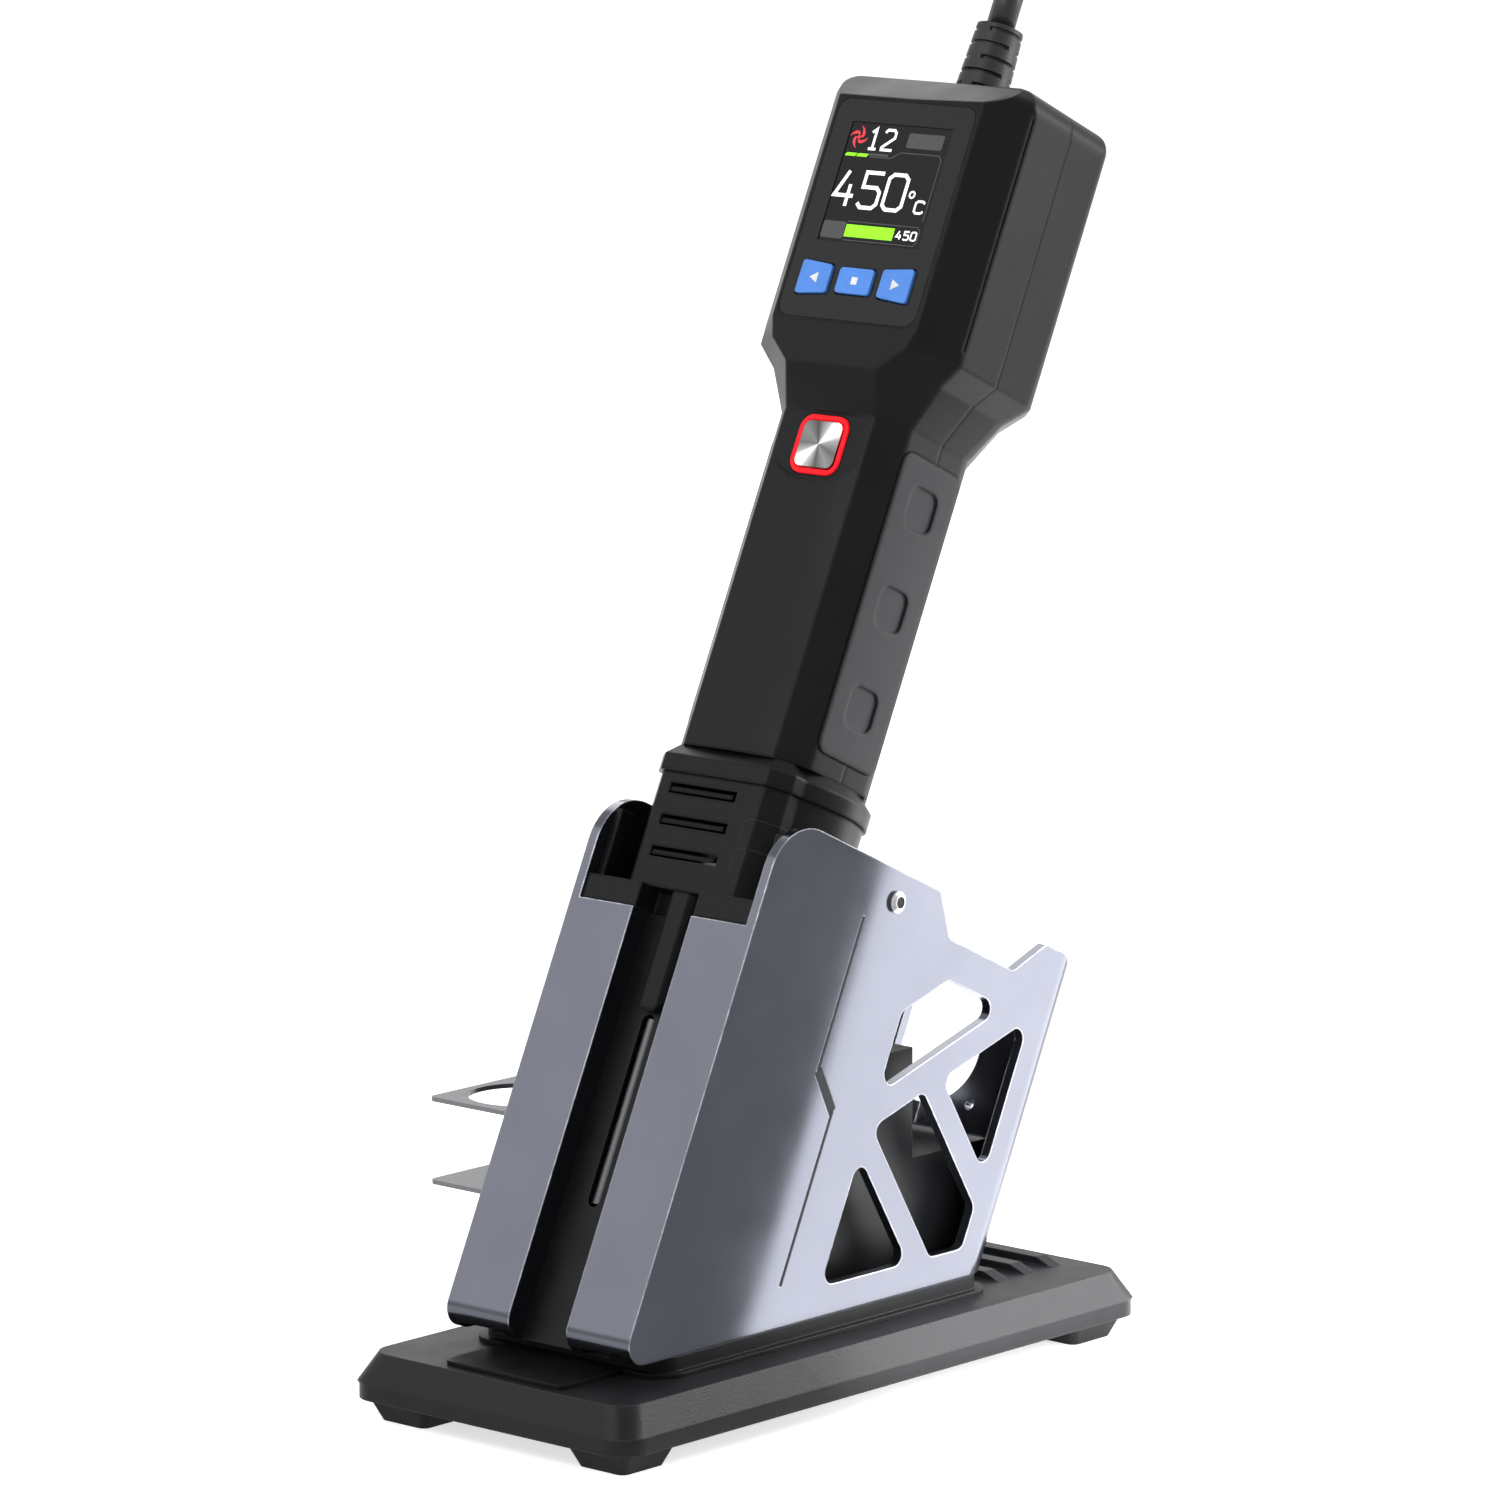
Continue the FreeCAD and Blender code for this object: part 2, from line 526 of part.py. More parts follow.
def rack_screw_rows():
    first = "rack_front + rack_screw_first"
    return first, f"{first} + rack_screw_pitch"


def rack_screw_height():
    return "(rack_low + rack_high - rack_sheet)/2"


def build_bolts():
    """Dome-headed bolts through the side plates into the cradle."""
    bolts, heads = [], "plate_spread"
    spot = ("bolt_back", "bolt_height")
    tip = f"{heads} + dome_tall"
    head = common("bolt_head", rod("bolt_disc", "dome_head", spot, heads, tip, "x"),
                  cone("bolt_dome", "dome_head*dome_spread", "dome_head*dome_crown", spot, heads, tip, "x"))
    shank = rod("bolt_shank", "screw_radius", spot, f"{heads} - bolt_length", heads, "x")
    socket = rod("bolt_socket", "hex_radius", spot, f"{heads} + dome_tall*socket_sunk", f"{tip} + 1", "x")
    bolt = cut("bolt", fuse("bolt_blank", head, shank), socket)
    bolts = group("bolt_pair", bolt, mirror("bolt_left", bolt))
    node(bolts, "cradle_bolts", True)


# ---------------------------------------------------------------- cradle, shield and rack
def build_cradle():
    half = "(plate_spread - plate_sheet - slip_gap)"
    top, floor_top = "(flange_top + cradle_height)", "(flange_top + cradle_floor)"
    back, axis = "cradle_back", ("0", "axis_back")
    floor = box("cradle_deck", (f"-{half}", half), ("cradle_front", back), ("flange_top", floor_top))
    block = box("cradle_block", (f"-{half}", half), ("cradle_mouth", back), ("flange_top", top))
    wall = "cradle_wall"
    room = box("cradle_room", (f"{wall} - {half}", f"{half} - {wall}"), ("-1", f"{back} - {wall}"),
               (floor_top, f"{top} + 1"))
    bosses = [box(f"cradle_boss_{number}", (low, high), (f"{back} - boss_deep", back),
                  (f"{top} - boss_tall", top))
              for number, (low, high) in enumerate([(f"{half} - boss_width - {wall}", half),
                                                    (f"-{half}", f"{wall} + boss_width - {half}")])]
    bore = rod("cradle_hole", "cradle_bore", axis, "flange_top - 1", f"{floor_top} + 1")
    mouth = box("cradle_gap", ("-flange_gap", "flange_gap"), ("-1", "shield_front + shield_sheet"),
                ("flange_top - 1", f"{floor_top} + 1"))
    threads = rod("cradle_thread", "screw_radius", ("bolt_back", "bolt_height"),
                  "-plate_spread", "plate_spread", "x")
    walls = cut("cradle_walls", block, room)
    body = cut("cradle_body", fuse("cradle_shell", floor, walls, *bosses), bore, mouth, threads)
    node(fuse("cradle_whole", body, build_nose(floor_top)), "cradle", True)


def build_nose(top):
    """The short rib that hangs from the cradle's front over the heat shield."""
    back, low = "shield_front", "(flange_top - nose_drop)"
    bevel = "nose_bevel"
    section = [("-nose_half", back), ("-nose_half", f"nose_front + {bevel}"),
               (f"{bevel} - nose_half", "nose_front"), (f"nose_half - {bevel}", "nose_front"),
               ("nose_half", f"nose_front + {bevel}"), ("nose_half", back)]
    rib = prism("nose_rib", "xy", section, low, top)
    slope = [("nose_front - 1", f"{low} - 1"), (f"{back} + 1", f"{low} - 1"),
             (f"{back} + 1", f"{low} + 2*{bevel}"), (back, f"{low} + 2*{bevel}")]
    tip = prism("nose_tip", "yz", slope, "-nose_half - 1", "nose_half + 1")
    root = box("nose_root", ("-nose_half", "nose_half"), (back, "shield_front + shield_sheet + 2"),
               ("flange_top + slip_gap", top))
    return fuse("nose", cut("nose_cut", rib, tip), root)


def shield_profile(inset, below, above):
    """The heat shield's side outline, with its sheet's thickness taken off."""
    front, throat = f"shield_front + {inset}", f"shield_throat - {inset}"
    rear, shelf = f"shield_back - {inset}", f"shield_shelf - {inset}"
    heel, step = f"(shield_heel - {inset})", f"shield_step - {inset}"
    foot = f"plinth_top - {below}"
    return [(front, level(front, foot)), (heel, level(heel, foot)), (heel, level(heel, step)),
            leaned(rear, step), leaned(rear, shelf), (throat, level(throat, shelf)),
            (throat, f"flange_top + {above}"), (front, f"flange_top + {above}")]


def build_shield():
    half, sheet_in = "shield_half", "(shield_half - shield_sheet)"
    outer = prism("shield_outer", "yz", shield_profile("0", "0", "0"), f"-{half}", half)
    inner = prism("shield_inner", "yz", shield_profile("shield_sheet", "1", "1"),
                  f"-{sheet_in}", sheet_in)
    front, behind = "shield_front - 1", "shield_front + shield_sheet + 1"
    low, top = "(slot_low + slot_half)", "(slot_top - slot_half)"
    slot = fuse("shield_slot", box("slot_run", ("-slot_half", "slot_half"), (front, behind), (low, top)),
                rod("slot_foot", "slot_half", ("0", low), front, behind, "y"),
                rod("slot_head", "slot_half", ("0", top), front, behind, "y"))
    node(cut("shield", outer, inner, slot), "heat_shield", True)


def build_rack():
    """A folded shelf for spare nozzles, on the left plate."""
    wall, out = "-plate_spread", "(-plate_spread - rack_reach)"
    back = "(rack_front + rack_length)"
    section = [(wall, "rack_low - rack_sheet"), (wall, "rack_high"), (out, "rack_high"),
               (out, "rack_high - rack_sheet"), ("-plate_spread - rack_sheet", "rack_high - rack_sheet"),
               ("-plate_spread - rack_sheet", "rack_low"), (out, "rack_low"),
               (out, "rack_low - rack_sheet")]
    folded = prism("rack_folded", "xz", section, "rack_front", back,
                   [("rack_corner + rack_sheet", (0, 1)), ("rack_corner", (4, 5))])
    plan = prism("rack_plan", "xy", rectangle(out, "rack_front", f"{wall} + 1", back),
                 "0", "2*rack_high", [("rack_corner", (0, 3))])
    holes = []
    for number in range(2):
        spot = (f"{wall} - rack_hole_out", f"rack_front + rack_hole_first + {number}*rack_hole_pitch")
        holes.append(rod(f"rack_hole_{number}", "rack_hole", spot, "rack_high - 2*rack_sheet",
                         "rack_high + 1"))
    height = rack_screw_height()
    for y in rack_screw_rows():
        holes.append(rod("rack_screw_hole", "screw_radius", (y, height), f"{wall} - 5", wall, "x"))
    node(cut("rack", common("rack_blank", folded, plan), *holes), "nozzle_rack")
    screws = []
    for number, y in enumerate(rack_screw_rows()):
        face = "(-plate_spread - rack_sheet)"
        shank = rod("rack_shank", "screw_radius", (y, height), face, "plate_sheet - plate_spread", "x")
        head = rod("rack_head", "dome_head", (y, height), f"{face} - dome_tall", face, "x")
        socket = rod("rack_socket", "hex_radius", (y, height), f"{face} - 2*dome_tall",
                     f"{face} - dome_tall/2", "x")
        screws.append(cut(f"rack_screw_{number}", fuse("rack_screw_blank", shank, head), socket))
    node(group("rack_screw_pair", *screws), "rack_screws")


# ---------------------------------------------------------------- gun: collar and barrel
AXIS = ("0", "axis_back")
COLLAR_LOW = "(flange_top + cradle_floor)"
COLLAR_TOP = f"({COLLAR_LOW} + collar_height)"
RING_TOP = f"({COLLAR_TOP} + ring_height)"


def collar_solid(name, inset, low, high, shrink=None):
    """The collar's outer or inner form: a drum with a flat, chamfered front. It may narrow upward."""
    radius, half = f"collar_radius - {inset}", f"collar_half - {inset}"
    face, bevel = f"collar_face + {inset}", f"collar_chamfer - {inset}*bevel_share"
    drum = cone(name + "_drum", radius, f"{radius} - {shrink}", AXIS, low, high) if shrink else rod(
        name + "_drum", radius, AXIS, low, high)
    ahead = f"{face} + {shrink}" if shrink else face
    keep = box(name + "_keep", (f"-({radius})", radius), (ahead, f"axis_back + {radius}"), (low, high))
    section = [(f"-({half})", "axis_back"), (f"-({half})", f"{face} + {bevel}"),
               (f"{bevel} - ({half})", face), (f"{half} - ({bevel})", face),
               (half, f"{face} + {bevel}"), (half, "axis_back")]
    nose = prism(name + "_nose", "xy", section, low, high, draft="-ring_bevel" if shrink else None)
    return fuse(name, common(name + "_back", drum, keep), nose)


def build_collar():
    outer = collar_solid("collar_outer", "0", COLLAR_LOW, COLLAR_TOP)
    floor = f"({COLLAR_LOW} + collar_floor)"
    inner = collar_solid("collar_inner", "collar_wall", floor, f"{COLLAR_TOP} + 1")
    cuts = [inner, rod("collar_bore", "barrel_radius", AXIS, f"{COLLAR_LOW} - 1", f"{floor} + 1")]
    for number in range(3):
        low = f"({COLLAR_LOW} + vent_first + {number}*vent_pitch)"
        cuts.append(box(f"collar_vent_{number}", ("vent_left", "vent_right"),
                        ("0", "collar_face + collar_wall + 1"), (low, f"{low} + vent_tall")))
    node(cut("collar_cut", outer, *cuts), "collar", True)

    lip, bend = "(0 - ring_lip)", f"({RING_TOP} - ring_slope)"
    drum = collar_solid("ring_low", lip, COLLAR_TOP, bend)
    slope = collar_solid("ring_high", lip, bend, RING_TOP, "ring_slope")
    bore = rod("ring_hole", "ring_bore", AXIS, COLLAR_TOP, RING_TOP)
    node(cut("ring", fuse("ring_blank", drum, slope), bore), "collar_ring", True)


def build_barrel():
    inner = "(barrel_radius - barrel_wall)"
    node(tube("barrel_tube", "barrel_radius", inner, AXIS, "barrel_low", "barrel_top"), "barrel", True)
    foot = f"({COLLAR_LOW} + collar_floor)"
    node(tube("clamp_tube", "clamp_radius", "barrel_radius", AXIS, foot, f"{foot} + clamp_tall"),
         "barrel_clamp", True)
    sleeve_in = f"({inner} - mica_wall)"
    low, top = "(barrel_low + mica_recess)", "(barrel_top - mica_recess/2)"
    node(tube("mica_tube", inner, sleeve_in, AXIS, low, top), "mica_sleeve", True)
    low, top = "(barrel_low + core_recess)", "(barrel_top - core_recess/2)"
    core = rod("core_rod", sleeve_in, AXIS, low, top)
    count = int(size.channels)
    channels = [rod("core_channel", "channel_radius",
                    (f"channel_circle*cos(360*{number}/channels)",
                     f"axis_back + channel_circle*sin(360*{number}/channels)"),
                    low, top) for number in range(count)]
    node(cut("core_bored", core, *channels), "heater_core", True)


# ---------------------------------------------------------------- gun: casing
def casing_section(height, corners, crown, inset=0.0):
    """One section of the casing: eight sides with rounded corners, pushed in by an inset."""
    half = [Vector(x, y, height) for x, y in corners]
    points = half + [Vector(-p.x, p.y, p.z) for p in reversed(half)]
    radii = [size.edge_round, size.edge_round * 2, size.back_round, size.back_round]
    radii = radii + radii[::-1]
    if inset:
        points, radii = inset_polygon(points, inset), [max(r - inset, 0.3) for r in radii]
    wire = rounded(points, radii)
    return bowed(wire, crown)


def inset_polygon(points, inset):
    """Moves each side of a flat polygon inwards by the same distance."""
    middle = sum(points, Vector()) * (1 / len(points))
    sides = []
    for i, start in enumerate(points):
        along = (points[(i + 1) % len(points)] - start).normalize()
        inward = Vector(-along.y, along.x, 0)
        if inward.dot(middle - start) < 0:
            inward = -inward
        sides.append((start + inward * inset, along))
    moved = []
    for i, (start, along) in enumerate(sides):
        base, back = sides[i - 1]
        cross = back.x * along.y - back.y * along.x
        gap = start - base
        reach = (gap.x * along.y - gap.y * along.x) / cross
        moved.append(base + back * reach)
    return moved


def bowed(wire, crown):
    """The same wire with its straight front side bulging forward by the crown."""
    edges = list(wire.Edges)
    front = min((e for e in edges if e.Curve.TypeId == "Part::GeomLine"),
                key=lambda e: e.CenterOfMass.y)
    ends = [v.Point for v in front.Vertexes]
    middle = (ends[0] + ends[1]) * 0.5 - Vector(0, max(crown, size.least_crown), 0)
    arc = Part.Arc(ends[0], middle, ends[1]).toShape()
    return Part.Wire(Part.__sortEdges__([arc if e.isSame(front) else e for e in edges]))


def casing_corners():
    """Each level of the casing: its height, its four right-hand corners and the front's crown."""
    shoulder = size.grip_shoulder
    grip = [(size.grip_face_half, size.grip_face), (size.grip_half, shoulder),
            (size.grip_half, size.grip_rear_shoulder), (size.grip_rear_half, size.grip_rear)]
    neck = [(size.neck_fold_half, size.face_front), (size.neck_side, size.neck_shoulder),
            (size.neck_side, (size.grip_rear_shoulder + size.head_rear_shoulder) / 2),
            ((size.grip_rear_half + size.face_half) / 2, (size.grip_rear + size.head_rear) / 2)]
    head_side = [(size.head_half, size.head_shoulder), (size.head_half, size.head_rear_shoulder),
                 (size.face_half, size.head_rear)]
    low, face = (size.head_low_half, size.face_front), (size.face_half, size.face_front)
    bottom = size.flange_top + size.cradle_floor + size.collar_height + size.ring_height
    return [(bottom, grip, size.grip_crown), (size.neck_low, grip, size.grip_crown),
            (size.neck_fold, neck, 0), (size.head_low, [low, *head_side], 0),
            (size.face_low, [face, *head_side], 0), (size.head_top, [face, *head_side], 0)]


def casing_loft(inset):
    """The casing's outer form, or the room inside it."""
    levels = casing_corners()
    wires = []
    for number, (height, corners, crown) in enumerate(levels):
        last = number == len(levels) - 1
        height += inset if number == 0 else -inset if last else inset * size.bevel_share if inset else 0
        wires.append(casing_section(height, corners, 0 if inset else crown, inset))
    solid = Part.makeLoft(wires, True, True)
    top = [e for e in solid.Edges if all(abs(v.Z - height) < 1e-6 for v in e.Vertexes)]
    return solid.makeFillet(size.head_round - inset, top)


def head_trim(inset):
    """The head's rounded top corners, sloped brow and nape, as a form to keep."""
    half, top, low = size.head_half - inset, size.head_top - inset, size.neck_low / 2
    corners = [Vector(x, 0, z) for x, z in ((-half, low), (half, low), (half, top), (-half, top))]
    crown = max(size.head_corner - inset, 1.0)
    front = Part.Face(rounded(corners, [0.5, 0.5, crown, crown])).extrude(Vector(0, 2 * size.head_rear, 0))
    front.translate(Vector(0, -size.head_rear / 2, 0))
    face, back, side = size.face_front + inset, size.head_rear - inset, -half - 1
    ahead = face - size.head_rear / 2
    brow = [(ahead, top - size.brow_drop * (1 + (face - ahead) / size.brow_depth)),
            (face + size.brow_depth, top)]
    nape = [(back - size.nape_depth, top), (back, top - size.nape_depth)]
    edge = [Vector(side, y, z) for y, z in [(ahead, low), *brow, *nape, (back, low)]]
    profile = Part.Face(rounded(edge, [0.5, 0.5, 1.5, 2.0, 2.0, 0.5]))
    return front.common(profile.extrude(Vector(-2 * side, 0, 0)))


def casing_blank():
    outer = casing_loft(0.0).common(head_trim(0.0))
    wall = size.casing_wall
    inner = casing_loft(wall).common(head_trim(wall))
    return outer.cut(inner)


def build_casing():
    blank = shaped("casing_blank", casing_blank())
    seam = "parting"
    wide, low, top = "(head_half + 1)", f"{RING_TOP} - 1", "head_top + 1"
    ahead = box("casing_ahead", (f"-{wide}", wide), ("-10", seam), (low, top))
    behind = box("casing_behind", (f"-{wide}", wide), (seam, "2*head_rear"), (low, top))
    mouth = rod("casing_mouth", "ring_bore", AXIS, low, f"{RING_TOP} + casing_wall + 1")
    neck = rod("casing_neck", "relief_bore", AXIS, "head_top - casing_wall - 1", top)
    pads = [pad_form(name, side, "0") for name, side in PAD_SIDES]
    front = cut("front_open", common("front_half", blank, ahead), mouth, neck, *pads, *front_cuts())
    node(front, "front_shell", True)
    bosses = [rod("shell_post", "shell_boss", (x, z), seam, "head_rear - 1", "y")
              for x, z in shell_screw_places()]
    room = shaped("casing_room", casing_loft(size.post_sunk))
    kept = common("shell_posts", fuse("shell_post_set", *bosses), room)
    holes = [rod("shell_hole", "screw_radius", (x, z), f"{seam} - 1", "head_rear + 1", "y")
             for x, z in shell_screw_places()]
    sinks = [rod("shell_sink", "cap_head + head_play", (x, z), screw_seat(z), "head_rear + 1", "y")
             for x, z in shell_screw_places()]
    rear = common("rear_half", blank, behind)
    posted = fuse("rear_posts", rear, kept)
    node(cut("rear_open", posted, mouth, neck, *pads, *holes, *sinks), "rear_shell", True)
    screws = []
    for number, (x, z) in enumerate(shell_screw_places()):
        seat = screw_seat(z)
        head = rod(f"shell_head_{number}", "cap_head", (x, z), seat, f"{seat} + cap_tall", "y")
        shank = rod(f"shell_shank_{number}", "screw_radius", (x, z), f"{seam} + 1", seat, "y")
        slot = rod(f"shell_socket_{number}", "hex_radius", (x, z), f"{seat} + cap_tall/2",
                   f"{seat} + 3*cap_tall", "y")
        screws.append(cut(f"shell_screw_{number}", fuse(f"shell_blank_{number}", head, shank), slot))
    node(group("shell_screw_set", *screws), "shell_screws", True)


def shell_screw_places():
    high = [(side + "shell_screw_x", "shell_screw_high") for side in SIDES]
    return high + [(side + "shell_screw_low_x", "shell_screw_low") for side in SIDES]


def screw_seat(height):
    """How far back a shell screw's head sits, below the shell's rear face."""
    return "(head_rear - nape_depth - cap_tall - 1)" if "high" in height else "(grip_rear - cap_tall - 1)"


def front_cuts():
    """Everything that opens the front shell: screen, keys, power key, crease and flat panel."""
    face, wall = "face_front", "face_front + casing_wall"
    bezel = prism("bezel_seat", "xz", bezel_corners("slip_gap"), "-1", f"{face} + bezel_thick",
                  [("bezel_round", range(4))])
    screen = box("screen_hole", ("-screen_half - slip_gap", "screen_half + slip_gap"),
                 ("-1", f"{wall} + 1"), ("screen_low - slip_gap", "screen_top + slip_gap"))
    keys = [key_form(name, "key_gap", "-1", f"{wall} + 1") for name in KEYS]
    ring = power_form("ring_seat", "power_ring_rim", "0", "grip_face + power_ring_thick", "power_ring_rim")
    power = power_form("power_hole", "key_gap", "0", "grip_face + casing_wall + 2")
    flat = common("panel_flat",
                  box("panel_box", ("-grip_face_half", "grip_face_half"), ("0", "grip_face"),
                      ("panel_low - 1", "neck_low")),
                  rod("panel_arc", "panel_radius", ("0", "panel_low + panel_radius"), "0", "grip_face", "y"))
    creases = []
    for side in SIDES:
        edge = f"{side}head_half"
        inner, outer = (f"{edge} {'+' if side else '-'} crease_deep", f"{edge} {'-' if side else '+'} 1")
        creases.append(box("crease" + side, sorted_pair(side, inner, outer),
                           ("head_shoulder", "head_shoulder + crease_width"), ("crease_low", "crease_top")))
    return [bezel, screen, ring, power, flat, *keys, *creases]


def sorted_pair(side, inner, outer):
    return (outer, inner) if side else (inner, outer)


# ---------------------------------------------------------------- gun: screen and keys
def bezel_corners(margin):
    half = f"(bezel_half + {margin})"
    return rectangle(f"-{half}", f"bezel_low - {margin}", half, f"bezel_top + {margin}")


KEYS = {
    "left_button": ("-key_outer", "key_outer_low", "key_outer_top",
                    "-key_inner", "key_inner_low", "key_inner_top"),
    "stop_button": ("-stop_half", "stop_low", "stop_top", "stop_half", "stop_low", "stop_top"),
    "right_button": ("key_inner", "key_inner_low", "key_inner_top",
                     "key_outer", "key_outer_low", "key_outer_top"),
}


def key_form(name, margin, low, high):
    """A key's outline, widened by a margin, between two depths."""
    left, left_low, left_top, right, right_low, right_top = KEYS[name]
    corners = [(f"{left} - {margin}", f"{left_low} - {margin}"),
               (f"{right} + {margin}", f"{right_low} - {margin}"),
               (f"{right} + {margin}", f"{right_top} + {margin}"),
               (f"{left} - {margin}", f"{left_top} + {margin}")]
    return prism(name + "_form", "xz", corners, low, high, [("key_round", range(4))])


def power_form(name, margin, low, high, more_round="0"):
    """The power key's outline, widened by a margin, between two depths."""
    half = f"(power_half + {margin})"
    corners = rectangle(f"-{half}", f"power_low - ({margin})", half, f"power_top + {margin}")
    return prism(name, "xz", corners, low, high, [(f"power_round + {more_round}", range(4))])


SCREEN_BACK = "(face_front + casing_wall + module_thick)"
WALL_BACK = "(face_front + casing_wall)"
GRIP_WALL_BACK = "(grip_face + casing_wall)"


def build_screen():
    front, glass = "face_front", "(face_front + screen_sink)"
    panel = prism("bezel_panel", "xz", bezel_corners("0"), front, f"{front} + bezel_thick",
                  [("bezel_round", range(4))])
    window = box("bezel_window", ("-screen_half - slip_gap", "screen_half + slip_gap"), ("-1", "5"),
                 ("screen_low - slip_gap", "screen_top + slip_gap"))
    keys = [key_form(name, "key_gap", "-1", "5") for name in KEYS]
    node(cut("bezel", panel, window, *keys), "screen_bezel", True)

    pane = box("display_glass", ("-screen_half", "screen_half"), (glass, WALL_BACK),
               ("screen_low", "screen_top"))
    rim = "module_rim"
    tray = box("display_tray", (f"-screen_half - {rim}", f"screen_half + {rim}"),
               (WALL_BACK, SCREEN_BACK), (f"screen_low - {rim}", f"screen_top + {rim}"))
    node(fuse("display", pane, tray), "display_module", True)
    wide = f"(screen_half + {rim} + board_rim)"
    plan = rectangle(f"-{wide}", f"key_outer_low - {rim}", wide, f"screen_top + {rim} + board_rim")
    board = prism("display_plate", "xz", plan, SCREEN_BACK, f"{SCREEN_BACK} + board_thick")
    node(board, "display_board", True)


def build_keys():
    front, rest = "face_front - key_proud", f"{WALL_BACK} + slip_gap"
    for name in KEYS:
        cap = key_form(name, "0", front, rest)
        flange = key_form(name, "key_flange", rest, f"{rest} + key_flange_thick")
        node(fuse(name + "_cap", cap, flange), name, True)
    middle, height = "(key_inner + key_outer)/2", "(stop_low + stop_top)/2"
    switches = [key_switch(f"key_switch_{i}", x, height, SCREEN_BACK, "small_")
                for i, x in enumerate((f"-{middle}", "0", middle))]
    node(group("key_switches", *switches), "button_switches", True)


def key_switch(name, x, height, board, kind=""):
    """A push switch that stands on the front of a board."""
    face = f"{board} - {kind}switch_tall"
    body = box(name + "_body", (f"{x} - switch_half", f"{x} + switch_half"),
               (f"{face} + {kind}switch_stem", board),
               (f"{height} - switch_half", f"{height} + switch_half"))
    stem = rod(name + "_stem", "switch_button", (x, height), face, board, "y")
    return fuse(name, body, stem)


def build_power():
    front, seat = "grip_face - power_proud", "grip_face + power_ring_thick"
    outer = power_form("ring_outer", "power_ring_rim - slip_gap", front, seat, "power_ring_rim")
    inner = power_form("ring_inner", "key_gap", "0", f"{seat} + 1")
    node(cut("ring_frame", outer, inner), "power_ring", True)
    rest = f"{GRIP_WALL_BACK} + slip_gap"
    cap = power_form("power_cap", "0", "grip_face - key_proud", rest)
    flange = power_form("power_flange", "key_flange", rest, f"{rest} + key_flange_thick")
    node(fuse("power_key", cap, flange), "power_button", True)

    height, half = "(power_low + power_top)/2", "power_board_half"
    board = box("power_plate", (f"-{half}", half), ("power_board_back - board_thick", "power_board_back"),
                (f"{height} - {half}", f"{height} + {half}"))
    front_of_board = "(power_board_back - board_thick)"
    switch = key_switch("power_switch_key", "0", height, front_of_board)
    shifts = (f"post_radius - {half}", f"{half} - post_radius")
    posts = [rod("power_post", "post_radius", (f"{side}({half} - post_radius)", f"{height} + {shift}"),
                 GRIP_WALL_BACK, front_of_board, "y")
             for side in SIDES for shift in shifts]
    node(fuse("power_switch_whole", board, switch, *posts), "power_switch", True)


PAD_SIDES = (("right", ""), ("left", "-"))


def pad_form(name, side, proud):
    """A grip pad's block on one side, with arched ends, or the seat that is cut for it."""
    low, high = "grip_half - pad_sunk", f"grip_half + {proud}"
    if side:
        low, high = f"-({high})", f"-({low})"
    outline = rectangle("pad_front", "pad_low", "pad_back", "pad_top")
    block = prism(f"pad_{name}_{'seat' if proud == '0' else 'block'}", "yz", outline, low, high,
                  [("pad_crown", range(4))])
    return block


def build_pads():
    middle, half = "(pad_front + pad_back)/2", "dimple_size/2"
    for name, side in PAD_SIDES:
        block = pad_form(name, side, "pad_proud")
        face = "grip_half + pad_proud - dimple_deep"
        low, high = (f"-({face}) - 2", f"-({face})") if side else (face, f"{face} + 2")
        dimples = []
        for number in range(3):
            z = f"(dimple_first + {number}*dimple_pitch)"
            corners = rectangle(f"{middle} - {half}", f"{z} - {half}", f"{middle} + {half}", f"{z} + {half}")
            dimples.append(prism(f"dimple_{name}_{number}", "yz", corners, low, high,
                                 [("dimple_round", range(4))]))
        node(cut(f"pad_{name}", block, *dimples), f"{name}_grip_pad", True)


# ---------------------------------------------------------------- gun: blower and boards
DUCT_LOW = f"({RING_TOP} + casing_wall)"


def build_blower():
    inner = "(duct_radius - duct_wall)"
    node(tube("duct", "duct_radius", inner, AXIS, DUCT_LOW, f"{DUCT_LOW} + duct_height"),
         "blower_housing", True)
    low = f"({DUCT_LOW} + motor_rise)"
    can = rod("motor_can", "motor_radius", AXIS, low, f"{low} + motor_tall")
    shaft = rod("motor_shaft", "shaft_radius", AXIS, f"{DUCT_LOW} + fan_rise - 1", low)
    middle, half = f"({low} + motor_tall/2)", "spoke_width/2"
    tall = (f"{middle} - {half}", f"{middle} + {half}")
    cross = [box("motor_spoke_x", (f"-{inner}", inner),
                 (f"axis_back - {half}", f"axis_back + {half}"), tall),
             box("motor_spoke_y", (f"-{half}", half),
                 (f"axis_back - {inner}", f"axis_back + {inner}"), tall)]
    spokes = common("motor_spokes", fuse("motor_cross", *cross),
                    rod("motor_reach", inner, AXIS, DUCT_LOW, f"{DUCT_LOW} + duct_height"))
    node(fuse("motor", can, shaft, spokes), "blower_motor", True)
    made("impeller", impeller_shape(), True)


